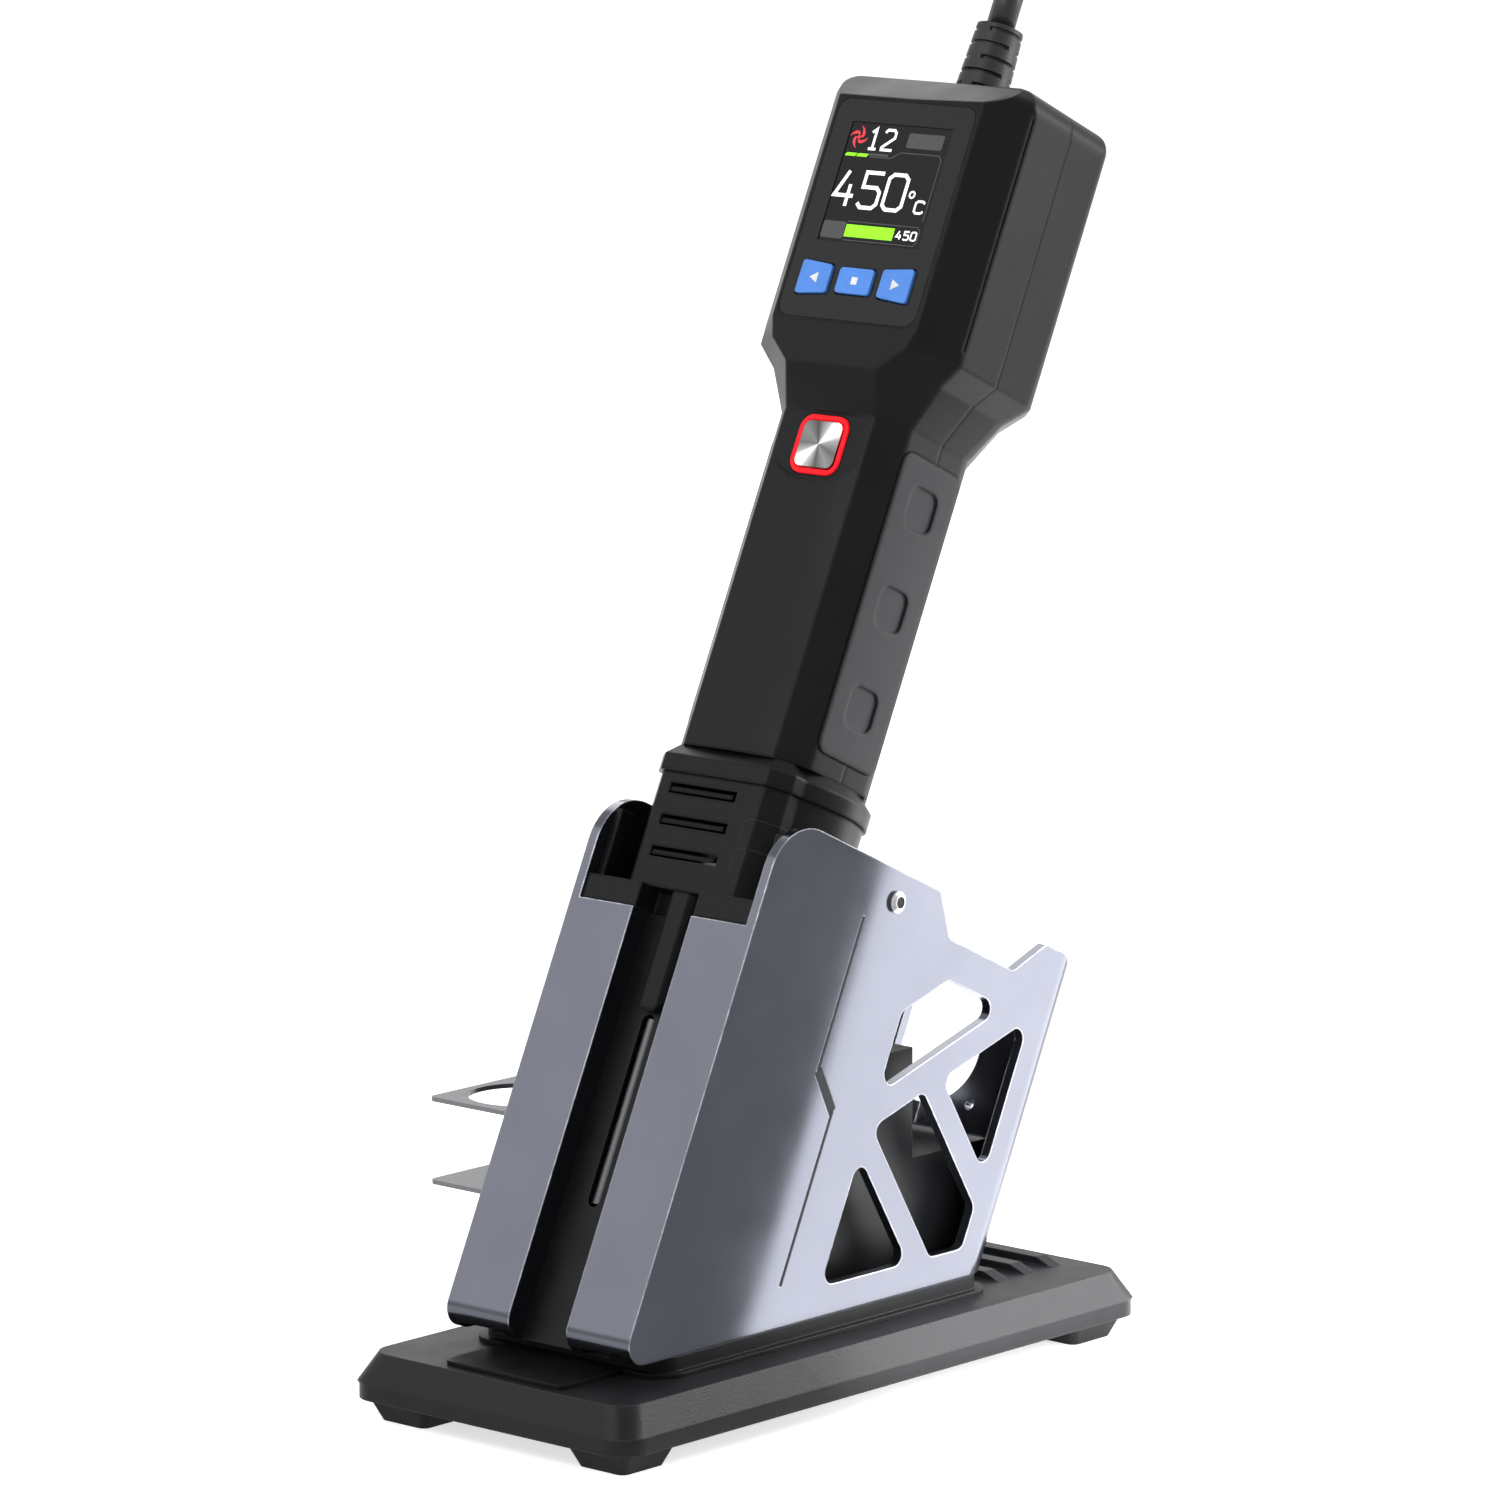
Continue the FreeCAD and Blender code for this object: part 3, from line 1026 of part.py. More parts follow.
def impeller_shape():
    """Tilted blades round a hub, bored for the motor's shaft."""
    ring_top = (size.flange_top + size.cradle_floor + size.collar_height + size.ring_height)
    low = ring_top + size.casing_wall + size.fan_rise
    foot = Vector(0, size.axis_back, low)
    hub = Part.makeCylinder(size.hub_radius, size.fan_tall, foot)
    blades = []
    for number in range(int(size.fan_blades)):
        blade = Part.makeBox(size.fan_radius + 1, size.fan_blade, 2 * size.fan_tall)
        blade.translate(Vector(0, -size.fan_blade / 2, -size.fan_tall))
        blade.rotate(Vector(), Vector(1, 0, 0), size.fan_tilt)
        blade.rotate(Vector(), Vector(0, 0, 1), 360 * number / size.fan_blades)
        blade.translate(foot + Vector(0, 0, size.fan_tall / 2))
        blades.append(blade)
    keep = Part.makeCylinder(size.fan_radius, size.fan_tall, foot)
    bore = Part.makeCylinder(size.shaft_radius + size.shaft_play, size.fan_tall, foot)
    return hub.multiFuse(blades).common(keep).cut(bore)


def build_mainboard():
    half, back = "mainboard_half", "(mainboard_back + board_thick)"
    board = box("main_plate", (f"-{half}", half), ("mainboard_back", back),
                ("mainboard_low", "mainboard_top"))
    posts = []
    for z in ("mainboard_low + 2*post_radius", "neck_low - 2*post_radius"):
        for side in SIDES:
            posts.append(rod("main_post", "post_radius", (f"{side}(grip_rear_half - 2*post_radius)", z),
                             back, "grip_rear - casing_wall", "y"))
    wide, face = "transformer_half", "mainboard_back"
    parts = [box("main_transformer", (f"-{wide}", wide), (f"{face} - transformer_deep", face),
                 ("mainboard_low + transformer_low", "mainboard_low + transformer_top")),
             rod("main_capacitor", "capacitor_radius", ("0", "mainboard_low + capacitor_rise"),
                 f"{face} - capacitor_deep", face, "y")]
    node(fuse("main_board_whole", board, *posts, *parts), "main_board", True)


# ---------------------------------------------------------------- cord
def build_relief():
    inside = "(head_top - casing_wall)"
    flange = rod("relief_foot", "relief_flange", AXIS, f"{inside} - relief_flange_tall", inside)
    neck = rod("relief_neck", "relief_bore - slip_gap", AXIS, inside, "head_top")
    sleeve = cone("relief_sleeve", "relief_radius", "relief_tip", AXIS, "head_top", "relief_top")
    slits = []
    for number in range(5):
        low = f"(head_top + slit_first + {number}*slit_pitch)"
        groove = tube(f"slit_{number}", "2*relief_radius", "relief_radius - slit_deep", AXIS, low,
                      f"{low} + slit_tall")
        spine, far = "slit_deep", "3*relief_radius"
        x, y = ((f"-{spine}", spine), (f"axis_back - {far}", f"axis_back + {far}"))
        if number % 2:
            x, y = ((f"-{far}", far), (f"axis_back - {spine}", f"axis_back + {spine}"))
        web = box(f"slit_spine_{number}", x, y, (low, f"{low} + slit_tall"))
        slits.append(cut(f"slit_cut_{number}", groove, web))
    node(cut("relief", fuse("relief_blank", flange, neck, sleeve), *slits), "strain_relief", True)


# The cord's free stretch, from the strain relief over behind the gun and down to its coil.
CORD_ROUTE = [
    (0.0, 81.23, 286.72), (0.0, 97.15, 320.12), (-23.0, 129.15, 327.0), (-46.0, 143.95, 297.8),
    (-51.3, 125.7, 245.6), (-52.6, 103.4, 195.3), (-50.0, 77.0, 146.9), (-50.5, 52.5, 97.1),
    (-50.5, 26.8, 52.3), (-50.0, 33.0, 22.5), (-49.12, 56.3, 3.0), (-49.83, 82.3, 3.0),
]


def routed(points):
    """Straight runs joined by arcs as large as their runs allow; prints each arc's radius."""
    points = [Vector(*point) for point in points]
    edges, start, radii = [], points[0], []
    for back, corner, ahead in zip(points, points[1:], points[2:]):
        into, out = corner - back, ahead - corner
        reach = 0.45 * min(into.Length, out.Length)
        into, out = into.normalize(), out.normalize()
        half = into.getAngle(out) / 2
        radii.append(reach / math.tan(half))
        middle = corner + (out - into).normalize() * (radii[-1] / math.cos(half) - radii[-1])
        edges.append(Part.LineSegment(start, corner - into * reach).toShape())
        edges.append(Part.Arc(corner - into * reach, middle, corner + out * reach).toShape())
        start = corner + out * reach
    edges.append(Part.LineSegment(start, points[-1]).toShape())
    print("cord arc radii:", [round(radius, 1) for radius in radii])
    return Part.Wire(edges)


def swept(name, path):
    """A round tube along a path; prints its volume beside its section times its length."""
    first = path.OrderedEdges[0]
    along = first.tangentAt(first.FirstParameter)
    radius = size.cord_diameter / 2
    ring = Part.Wire(Part.makeCircle(radius, first.valueAt(first.FirstParameter), along))
    solid = path.makePipeShell([ring], True, False)
    wanted = math.pi * radius ** 2 * path.Length
    print(f"{name}: length {path.Length:.1f}, volume {solid.Volume:.0f}, section x length {wanted:.0f}")
    return solid


def coil_point(turn):
    """A point of the coil and its direction, a number of turns after its start."""
    pitch = size.cord_diameter + size.coil_gap
    middle = size.coil_turns / 2
    inner = size.coil_outer - pitch * middle
    ease = 0.1
    offset = math.hypot(turn - middle, ease)
    radius, radius_rate = inner + pitch * offset, pitch * (turn - middle) / offset
    climb = min(max((turn - middle) * 2 + 0.5, 0.0), 1.0)
    height = size.cord_diameter / 2 + pitch * (1 - math.cos(math.pi * climb)) / 2
    height_rate = pitch * math.pi * math.sin(math.pi * climb)
    angle = math.tau * turn
    out, round_ = Vector(math.cos(angle), math.sin(angle)), Vector(-math.sin(angle), math.cos(angle))
    place = Vector(size.coil_x, size.coil_y, height) + out * radius
    along = out * radius_rate + round_ * (radius * math.tau) + Vector(0, 0, height_rate)
    return place, along.normalize()


def biarc(start, along, end, beyond):
    """Two arcs that leave one point in its direction and reach another in its own."""
    chord, both = end - start, along + beyond
    a, b, c = 2 * (along.dot(beyond) - 1), -2 * chord.dot(both), chord.dot(chord)
    reach = c / (chord.dot(both)) / 2 if abs(a) < 1e-9 else (-b - math.sqrt(b * b - 4 * a * c)) / (2 * a)
    reach = abs(reach)
    joint = (start + along * reach + end - beyond * reach) * 0.5
    return [arc_from(start, along, joint), arc_from(end, -beyond, joint)]


def arc_from(start, along, end):
    """The arc that leaves a start in a direction and passes through an end."""
    chord = end - start
    half = along.getAngle(chord) / 2
    side = (chord.normalize() - along * math.cos(2 * half)).normalize()
    reach = (end - start).Length / 2 / math.cos(half)
    middle = start + (along * math.cos(half) + side * math.sin(half)) * reach
    return Part.Arc(start, middle, end).toShape()


def coil_path():
    """The coil's spiral, in along the floor and out again on top, with a straight lead at each end."""
    quarters = int(round(size.coil_turns * 4))
    stops = [coil_point(size.coil_turns * i / quarters) for i in range(quarters + 1)]
    (first, along), (last, beyond) = stops[0], stops[-1]
    edges = [Part.LineSegment(first - along * size.cord_diameter, first).toShape()]
    for (start, out), (end, into) in zip(stops, stops[1:]):
        edges.extend(biarc(start, out, end, into))
    end = last + beyond * size.plug_lead
    edges.append(Part.LineSegment(last, end).toShape())
    return Part.Wire(Part.__sortEdges__(edges)), end, beyond


def least_gap(turn_step=0.02):
    """The smallest space between the coil's turns, measured on points along it."""
    count = int(size.coil_turns / turn_step)
    points = [coil_point(i * turn_step)[0] for i in range(count + 1)]
    skip = int(0.4 / turn_step)
    return min((points[i] - points[j]).Length for i in range(count) for j in range(i + skip, count + 1))


def build_cord():
    made("cord", swept("cord", routed(CORD_ROUTE)))
    path, end, along = coil_path()
    made("cord_coil", swept("cord_coil", path))
    print(f"cord_coil: least gap {least_gap() - size.cord_diameter:.2f}")
    made("plug", plug_shape(end, along))


def plug_shape(end, along):
    """A two-blade plug lying on its side, level with the cord's end."""
    half, tall = size.plug_width / 2, end.z
    side = [Vector(-half, 0, -tall), Vector(half, 0, -tall), Vector(half, 0, tall), Vector(-half, 0, tall)]
    body = Part.Face(rounded(side, [size.plug_round] * 4)).extrude(Vector(0, size.plug_length, 0))
    blades = []
    for rise in (-size.blade_spread / 2, size.blade_spread / 2):
        blade = Part.makeBox(size.blade_width, size.blade_length + 2, size.blade_thick)
        blade.translate(Vector(-size.blade_width / 2, size.plug_length - 2, rise - size.blade_thick / 2))
        blades.append(blade)
    plug = body.multiFuse(blades)
    plug.rotate(Vector(), Vector(0, 0, 1), math.degrees(math.atan2(-along.x, along.y)))
    plug.translate(end)
    return plug


# ---------------------------------------------------------------- build and save
for build in (build_base, build_feet, build_plinth, build_side_plates, build_bolts, build_cradle,
              build_shield, build_rack, build_collar, build_barrel, build_casing, build_screen,
              build_keys, build_power, build_pads, build_blower, build_mainboard, build_relief,
              build_cord):
    build()
doc.recompute()

for obj in doc.Objects:
    if {"Invalid", "Error"} & set(obj.State):
        raise RuntimeError(f"{obj.Label}: {obj.State}")
os.makedirs("parts", exist_ok=True)
for obj in nodes:
    shape = obj.Shape
    if shape.isNull() or not shape.isValid() or not shape.Solids:
        raise RuntimeError(f"{obj.Label} has no valid solid")
    shape.exportStep(f"parts/{obj.Label}.step")
    bounds = shape.optimalBoundingBox(False, False)
    print(f"{obj.Label}: {len(shape.Solids)} solid, volume {shape.Volume:.0f}, "
          f"x {bounds.XMin:.2f} {bounds.XMax:.2f} y {bounds.YMin:.2f} {bounds.YMax:.2f} "
          f"z {bounds.ZMin:.2f} {bounds.ZMax:.2f}")
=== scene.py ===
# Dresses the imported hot-air gun and its stand: materials, screen, signs, seams, cord, light, camera.
import json
import math

import bmesh
import bpy
from mathutils import Matrix, Vector


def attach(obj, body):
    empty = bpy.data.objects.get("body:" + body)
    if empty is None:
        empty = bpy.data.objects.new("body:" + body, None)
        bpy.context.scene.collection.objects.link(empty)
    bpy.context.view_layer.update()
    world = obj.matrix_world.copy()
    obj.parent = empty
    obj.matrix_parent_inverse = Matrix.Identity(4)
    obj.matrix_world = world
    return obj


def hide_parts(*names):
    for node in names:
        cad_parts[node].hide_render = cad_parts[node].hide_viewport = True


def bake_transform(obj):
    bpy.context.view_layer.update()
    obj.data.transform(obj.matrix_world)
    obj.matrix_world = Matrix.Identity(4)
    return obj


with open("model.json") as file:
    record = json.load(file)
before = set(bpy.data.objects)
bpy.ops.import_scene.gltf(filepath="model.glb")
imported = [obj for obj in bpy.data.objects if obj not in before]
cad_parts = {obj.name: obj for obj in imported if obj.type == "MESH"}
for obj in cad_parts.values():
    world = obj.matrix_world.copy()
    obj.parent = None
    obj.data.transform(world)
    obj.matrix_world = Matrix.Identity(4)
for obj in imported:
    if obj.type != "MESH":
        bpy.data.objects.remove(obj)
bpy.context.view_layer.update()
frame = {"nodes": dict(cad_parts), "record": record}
MM = 0.001

# ---------------------------------------------------------------- named values, from the part's sizes
LEAN_ANGLE = math.radians(25.48)
PIVOT = Vector((0.0, -68.48, 24.63)) * MM
FACE_FRONT = 1.0
SCREEN_SINK = 0.2
KEY_PROUD = 0.6
PLATE_SPREAD, LINE_DEEP, LINE_WIDTH = 26.2, 0.3, 0.6
GRIP_FACE = 5.2
COLLAR_LOW, COLLAR_FACE = 97.0, 3.7
COLLAR_HALF, COLLAR_CHAMFER = 18.3, 3.9

CORD_DIAMETER = 6.0
CORD_ROUTE = [
    (0.0, 81.23, 286.72), (0.0, 97.15, 320.12), (-23.0, 129.15, 327.0), (-46.0, 143.95, 297.8),
    (-51.3, 125.7, 245.6), (-52.6, 103.4, 195.3), (-50.0, 77.0, 146.9), (-50.5, 52.5, 97.1),
    (-50.5, 26.8, 52.3), (-50.0, 33.0, 22.5), (-49.12, 56.3, 3.0), (-49.83, 82.3, 3.0),
]
COIL_CENTRE, COIL_OUTER, COIL_TURNS, COIL_GAP = (-88.5, 88.6), 38.5, 4.25, 0.6
COIL_STEPS = 16
VENT_LEFT, VENT_RIGHT, VENT_FIRST, VENT_PITCH = -11.5, 7.5, 6.5, 7.1
BOLT_BACK, BOLT_HEIGHT, BOLT_OUT = 41.9, 109.8, 1.1
SLOT_HALF, SLOT_LOW, SLOT_TOP, STRIP_FACE = 1.7, 27.3, 70.0, 6.25
PLUG_LEAD, PLUG_LENGTH, BLADE_SPREAD = 25.0, 30.0, 12.7
BLADE_WIDTH, BLADE_THICK, BLADE_LENGTH = 6.3, 1.5, 17.0

CAMERA_PLACE = (1.13002, -1.27605, 0.437465)
CAMERA_TURN = (90.0 - 9.93, 0.0, 41.59)
CAMERA_LENS, CAMERA_SENSOR = 195.61, 36.0
CARD_EDGE = 35.0  # where the cards' edge is mirrored, in the lean frame's millimetres; the rest is metres
CARD_OUT, CARD_LOW, CARD_TOP, CARD_LENGTH = 0.026, 0.004, 0.19, 0.17
CARD_GLOW, CARD_DIM = 5.6, 0.66
FLOOR_HALF, FLOOR_GLOW, WORLD_SOFT = 7.0, 0.68, 0.45


def lean_matrix():
    """From the lean frame in millimetres to the world in metres."""
    turn = Matrix.Rotation(-LEAN_ANGLE, 4, "X")
    return Matrix.Translation(PIVOT) @ turn @ Matrix.Scale(MM, 4)


LEAN = lean_matrix()
UPRIGHT = Matrix.Scale(MM, 4)


# ---------------------------------------------------------------- meshes
def add_object(name, mesh):
    obj = bpy.data.objects.new(name, mesh)
    bpy.context.scene.collection.objects.link(obj)
    return obj


def mesh_from(name, verts, faces, matrix, smooth=False):
    """A piece from points in millimetres, placed by a matrix."""
    mesh = bpy.data.meshes.new(name)
    mesh.from_pydata([matrix @ Vector(v) for v in verts], [], faces)
    mesh.validate()
    mesh.update()
    for polygon in mesh.polygons:
        polygon.use_smooth = smooth
    return add_object(name, mesh)


class Plates:
    """Thin flat shapes gathered into one piece; each lies in x and z at a depth."""

    def __init__(self):
        self.verts = []
        self.faces = []

    def polygon(self, outline, depth, thick=0.04):
        """A flat polygon in x and z whose front is at the depth."""
        start, count = len(self.verts), len(outline)
        for back in (0.0, thick):
            self.verts.extend((x, depth + back, z) for x, z in outline)
        self.faces.append([start + i for i in range(count)])
        self.faces.append([start + count + i for i in reversed(range(count))])
        for i in range(count):
            j = (i + 1) % count
            self.faces.append([start + i, start + count + i, start + count + j, start + j])

    def box(self, left, low, right, top, depth, thick=0.04, radius=0.0):
        self.polygon(round_box(left, low, right, top, radius), depth, thick)

    def stroke(self, points, width, depth, closed=False):
        """A line of even width, with mitred corners."""
        sides = [mitre(points, i, width / 2, closed) for i in range(len(points))]
        count = len(points)
        for i in range(count if closed else count - 1):
            j = (i + 1) % count
            quad = [sides[i][0], sides[j][0], sides[j][1], sides[i][1]]
            self.polygon(quad, depth)

    def piece(self, name, matrix):
        obj = mesh_from(name, self.verts, self.faces, matrix)
        tidy = bmesh.new()
        tidy.from_mesh(obj.data)
        bmesh.ops.recalc_face_normals(tidy, faces=tidy.faces)
        tidy.to_mesh(obj.data)
        tidy.free()
        return obj


def mitre(points, i, half, closed):
    """The two edge points of a line at one of its points."""
    here = Vector(points[i])
    before = Vector(points[i - 1]) if i or closed else None
    after = Vector(points[(i + 1) % len(points)]) if closed or i + 1 < len(points) else None
    ways = []
    if before is not None:
        ways.append((here - before).normalized())
    if after is not None:
        ways.append((after - here).normalized())
    along = sum(ways, Vector((0.0, 0.0))).normalized()
    normal = Vector((-along.y, along.x))
    reach = half / max(normal.dot(Vector((-ways[0].y, ways[0].x))), 0.3)
    return tuple(here + normal * reach), tuple(here - normal * reach)


def round_box(left, low, right, top, radius, steps=5):
    if radius <= 0:
        return [(left, low), (right, low), (right, top), (left, top)]
    centres = [(right - radius, low + radius, -90), (right - radius, top - radius, 0),
               (left + radius, top - radius, 90), (left + radius, low + radius, 180)]
    outline = []
    for x, z, start in centres:
        for step in range(steps + 1):
            angle = math.radians(start + 90 * step / steps)
            outline.append((x + radius * math.cos(angle), z + radius * math.sin(angle)))
    return outline


# ---------------------------------------------------------------- materials
class Shade:
    """A node material being put together."""

    def __init__(self, name, colour, roughness, metallic=0.0, specular=0.5):
        self.material = bpy.data.materials.new(name)
        self.material.use_nodes = True
        self.nodes = self.material.node_tree.nodes
        self.links = self.material.node_tree.links
        self.nodes.clear()
        output = self.nodes.new("ShaderNodeOutputMaterial")
        self.bsdf = self.nodes.new("ShaderNodeBsdfPrincipled")
        self.links.new(self.bsdf.outputs[0], output.inputs["Surface"])
        self.set("Metallic", metallic)
        self.set("Specular IOR Level", specular)
        self.set("Base Color", (*colour, 1.0))
        self.set("Roughness", roughness)
        self.colour = colour
        self.roughness = roughness
        self.tint = None
        self.normal = None

    def set(self, socket, value):
        self.bsdf.inputs[socket].default_value = value

    def node(self, kind, **values):
        made = self.nodes.new(kind)
        for key, value in values.items():
            setattr(made, key, value)
        return made

    def link(self, source, target):
        self.links.new(source, target)

    def place(self):
        """Object coordinates in metres."""
        coords = self.node("ShaderNodeTexCoord")
        return coords.outputs["Object"]

    def noise(self, scale, detail=3.0, rough=0.5, stretch=None):
        noise = self.node("ShaderNodeTexNoise")
        noise.inputs["Scale"].default_value = scale
        noise.inputs["Detail"].default_value = detail
        noise.inputs["Roughness"].default_value = rough
        if stretch:
            mapping = self.node("ShaderNodeMapping")
            mapping.inputs["Rotation"].default_value = stretch[0]
            mapping.inputs["Scale"].default_value = stretch[1]
            self.link(self.place(), mapping.inputs["Vector"])
            self.link(mapping.outputs[0], noise.inputs["Vector"])
        else:
            self.link(self.place(), noise.inputs["Vector"])
        return noise.outputs["Fac"]

    def spread(self, source, low, high, start=0.3, end=0.7):
        """Maps a texture's middle range to two values."""
        spread = self.node("ShaderNodeMapRange")
        for key, value in zip(("From Min", "From Max", "To Min", "To Max"), (start, end, low, high)):
            spread.inputs[key].default_value = value
        self.link(source, spread.inputs["Value"])
        return spread.outputs["Result"]

    def mix(self, factor, first, second):
        """A colour between two; each is a colour or a socket."""
        mix = self.node("ShaderNodeMix", data_type="RGBA")
        for socket, value in ((mix.inputs[0], factor), (mix.inputs[6], first), (mix.inputs[7], second)):
            if isinstance(value, (tuple, float)):
                socket.default_value = (*value, 1.0) if isinstance(value, tuple) else value
            else:
                self.link(value, socket)
        return mix.outputs[2]

    def paint(self, socket):
        self.tint = socket
        self.link(socket, self.bsdf.inputs["Base Color"])

    def vary(self, amount, scale, shade=0.12):
        """Uneven gloss and a slight unevenness of colour."""
        wide = self.noise(scale, 4.0)
        low, high = self.roughness - amount, self.roughness + amount
        self.link(self.spread(wide, max(low, 0.02), min(high, 1.0)), self.bsdf.inputs["Roughness"])
        dark = tuple(c * (1 - shade) for c in self.colour)
        light = tuple(min(c * (1 + shade), 1.0) for c in self.colour)
        self.paint(self.mix(self.spread(wide, 0.0, 1.0), dark, light))

    def grain(self, scale, depth, detail=2.0, stretch=None):
        """A fine bump over edges that are softened in shading."""
        bump = self.node("ShaderNodeBump")
        bump.inputs["Strength"].default_value = 1.0
        bump.inputs["Distance"].default_value = depth * MM
        self.link(self.noise(scale, detail, 0.6, stretch), bump.inputs["Height"])
        if self.normal is not None:
            self.link(self.normal, bump.inputs["Normal"])
        self.normal = bump.outputs[0]
        self.link(self.normal, self.bsdf.inputs["Normal"])

    def soften(self, radius):
        """Rounds the edges in shading."""
        bevel = self.node("ShaderNodeBevel", samples=4)
        bevel.inputs["Radius"].default_value = radius * MM
        self.normal = bevel.outputs[0]
        self.link(self.normal, self.bsdf.inputs["Normal"])

    def rubbed_and_highlit_edges(self, radius, colour, amount):
        """Rubbed edges and painted edge highlights: a lighter colour where the rounded normal leaves the flat
        one.
        """
        bevel = self.node("ShaderNodeBevel", samples=4)
        bevel.inputs["Radius"].default_value = radius * MM
        flat = self.node("ShaderNodeNewGeometry")
        dot = self.node("ShaderNodeVectorMath", operation="DOT_PRODUCT")
        self.link(bevel.outputs[0], dot.inputs[0])
        self.link(flat.outputs["Normal"], dot.inputs[1])
        edge = self.spread(dot.outputs["Value"], amount, 0.0, 0.75, 0.98)
        patchy = self.spread(self.noise(400.0, 4.0), 0.35, 1.0)
        # Painted highlight along the edges, mixed with rubbed wear
        rubbed_and_highlit_mask = self.node("ShaderNodeMath", operation="MULTIPLY")
        self.link(edge, rubbed_and_highlit_mask.inputs[0])
        self.link(patchy, rubbed_and_highlit_mask.inputs[1])
        self.paint(self.mix(rubbed_and_highlit_mask.outputs[0], self.tint or self.colour, colour))


def anodised():
    """Satin blue-grey anodised sheet with a fine sparkle."""
    shade = Shade("plate_paint", (0.098, 0.102, 0.122), 0.15, metallic=0.94, specular=0.3)
    shade.soften(0.45)
    shade.vary(0.03, 60.0, 0.04)
    # Painted highlight: bright lines along the sheet's edges, with some rubbed metal
    shade.rubbed_and_highlit_edges(0.6, (0.66, 0.67, 0.72), 1.0)
    shade.grain(5200.0, 0.004, 1.0)
    return shade.material


def powder_coat():
    shade = Shade("base_paint", (0.010, 0.0104, 0.0116), 0.36, specular=0.13)
    shade.soften(0.5)
    shade.vary(0.05, 90.0, 0.15)
    shade.rubbed_and_highlit_edges(0.6, (0.10, 0.10, 0.105), 0.7)
    shade.grain(2300.0, 0.055, 2.0)
    return shade.material


def black_sheet():
    shade = Shade("black_sheet", (0.005, 0.0053, 0.006), 0.4, specular=0.12)
    shade.soften(0.3)
    shade.vary(0.06, 120.0, 0.15)
    shade.rubbed_and_highlit_edges(0.35, (0.08, 0.08, 0.085), 0.5)
    shade.grain(3500.0, 0.01, 2.0)
    return shade.material


def casing():
    """Fine-textured satin black moulding."""
    shade = Shade("casing_black", (0.0062, 0.0065, 0.0074), 0.34, specular=0.10)
    shade.soften(1.1)
    shade.vary(0.05, 55.0, 0.10)
    # Painted highlight: lighter lines along the moulding's edges, with some rubbing
    shade.rubbed_and_highlit_edges(0.45, (0.07, 0.071, 0.075), 0.6)
    shade.grain(4200.0, 0.012, 2.0)
    return shade.material


def gloss_panel():
    shade = Shade("gloss_black", (0.0055, 0.0056, 0.0064), 0.2, specular=0.16)
    shade.soften(0.25)
    shade.vary(0.04, 35.0, 0.1)
    shade.grain(900.0, 0.0015, 1.0)
    return shade.material


def display_glass():
    shade = Shade("display", (0.003, 0.003, 0.0036), 0.1, specular=0.12)
    shade.vary(0.02, 30.0, 0.1)
    shade.grain(700.0, 0.0008, 1.0)
    return shade.material


def blue_key():
    shade = Shade("key_blue", (0.085, 0.27, 0.80), 0.36, specular=0.25)
    shade.soften(0.35)
    shade.vary(0.05, 160.0, 0.08)
    shade.rubbed_and_highlit_edges(0.4, (0.22, 0.45, 0.9), 0.6)
    shade.grain(3000.0, 0.006, 2.0)
    return shade.material


def red_ring():
    """A lit light guide."""
    shade = Shade("ring_red", (0.5, 0.008, 0.014), 0.3, specular=0.1)
    shade.soften(0.3)
    shade.vary(0.05, 200.0, 0.08)
    glow = shade.mix(shade.spread(shade.noise(300.0), 0.0, 1.0), (0.74, 0.0, 0.004), (0.88, 0.006, 0.016))
    shade.link(glow, shade.bsdf.inputs["Emission Color"])
    shade.set("Emission Strength", 0.85)
    return shade.material


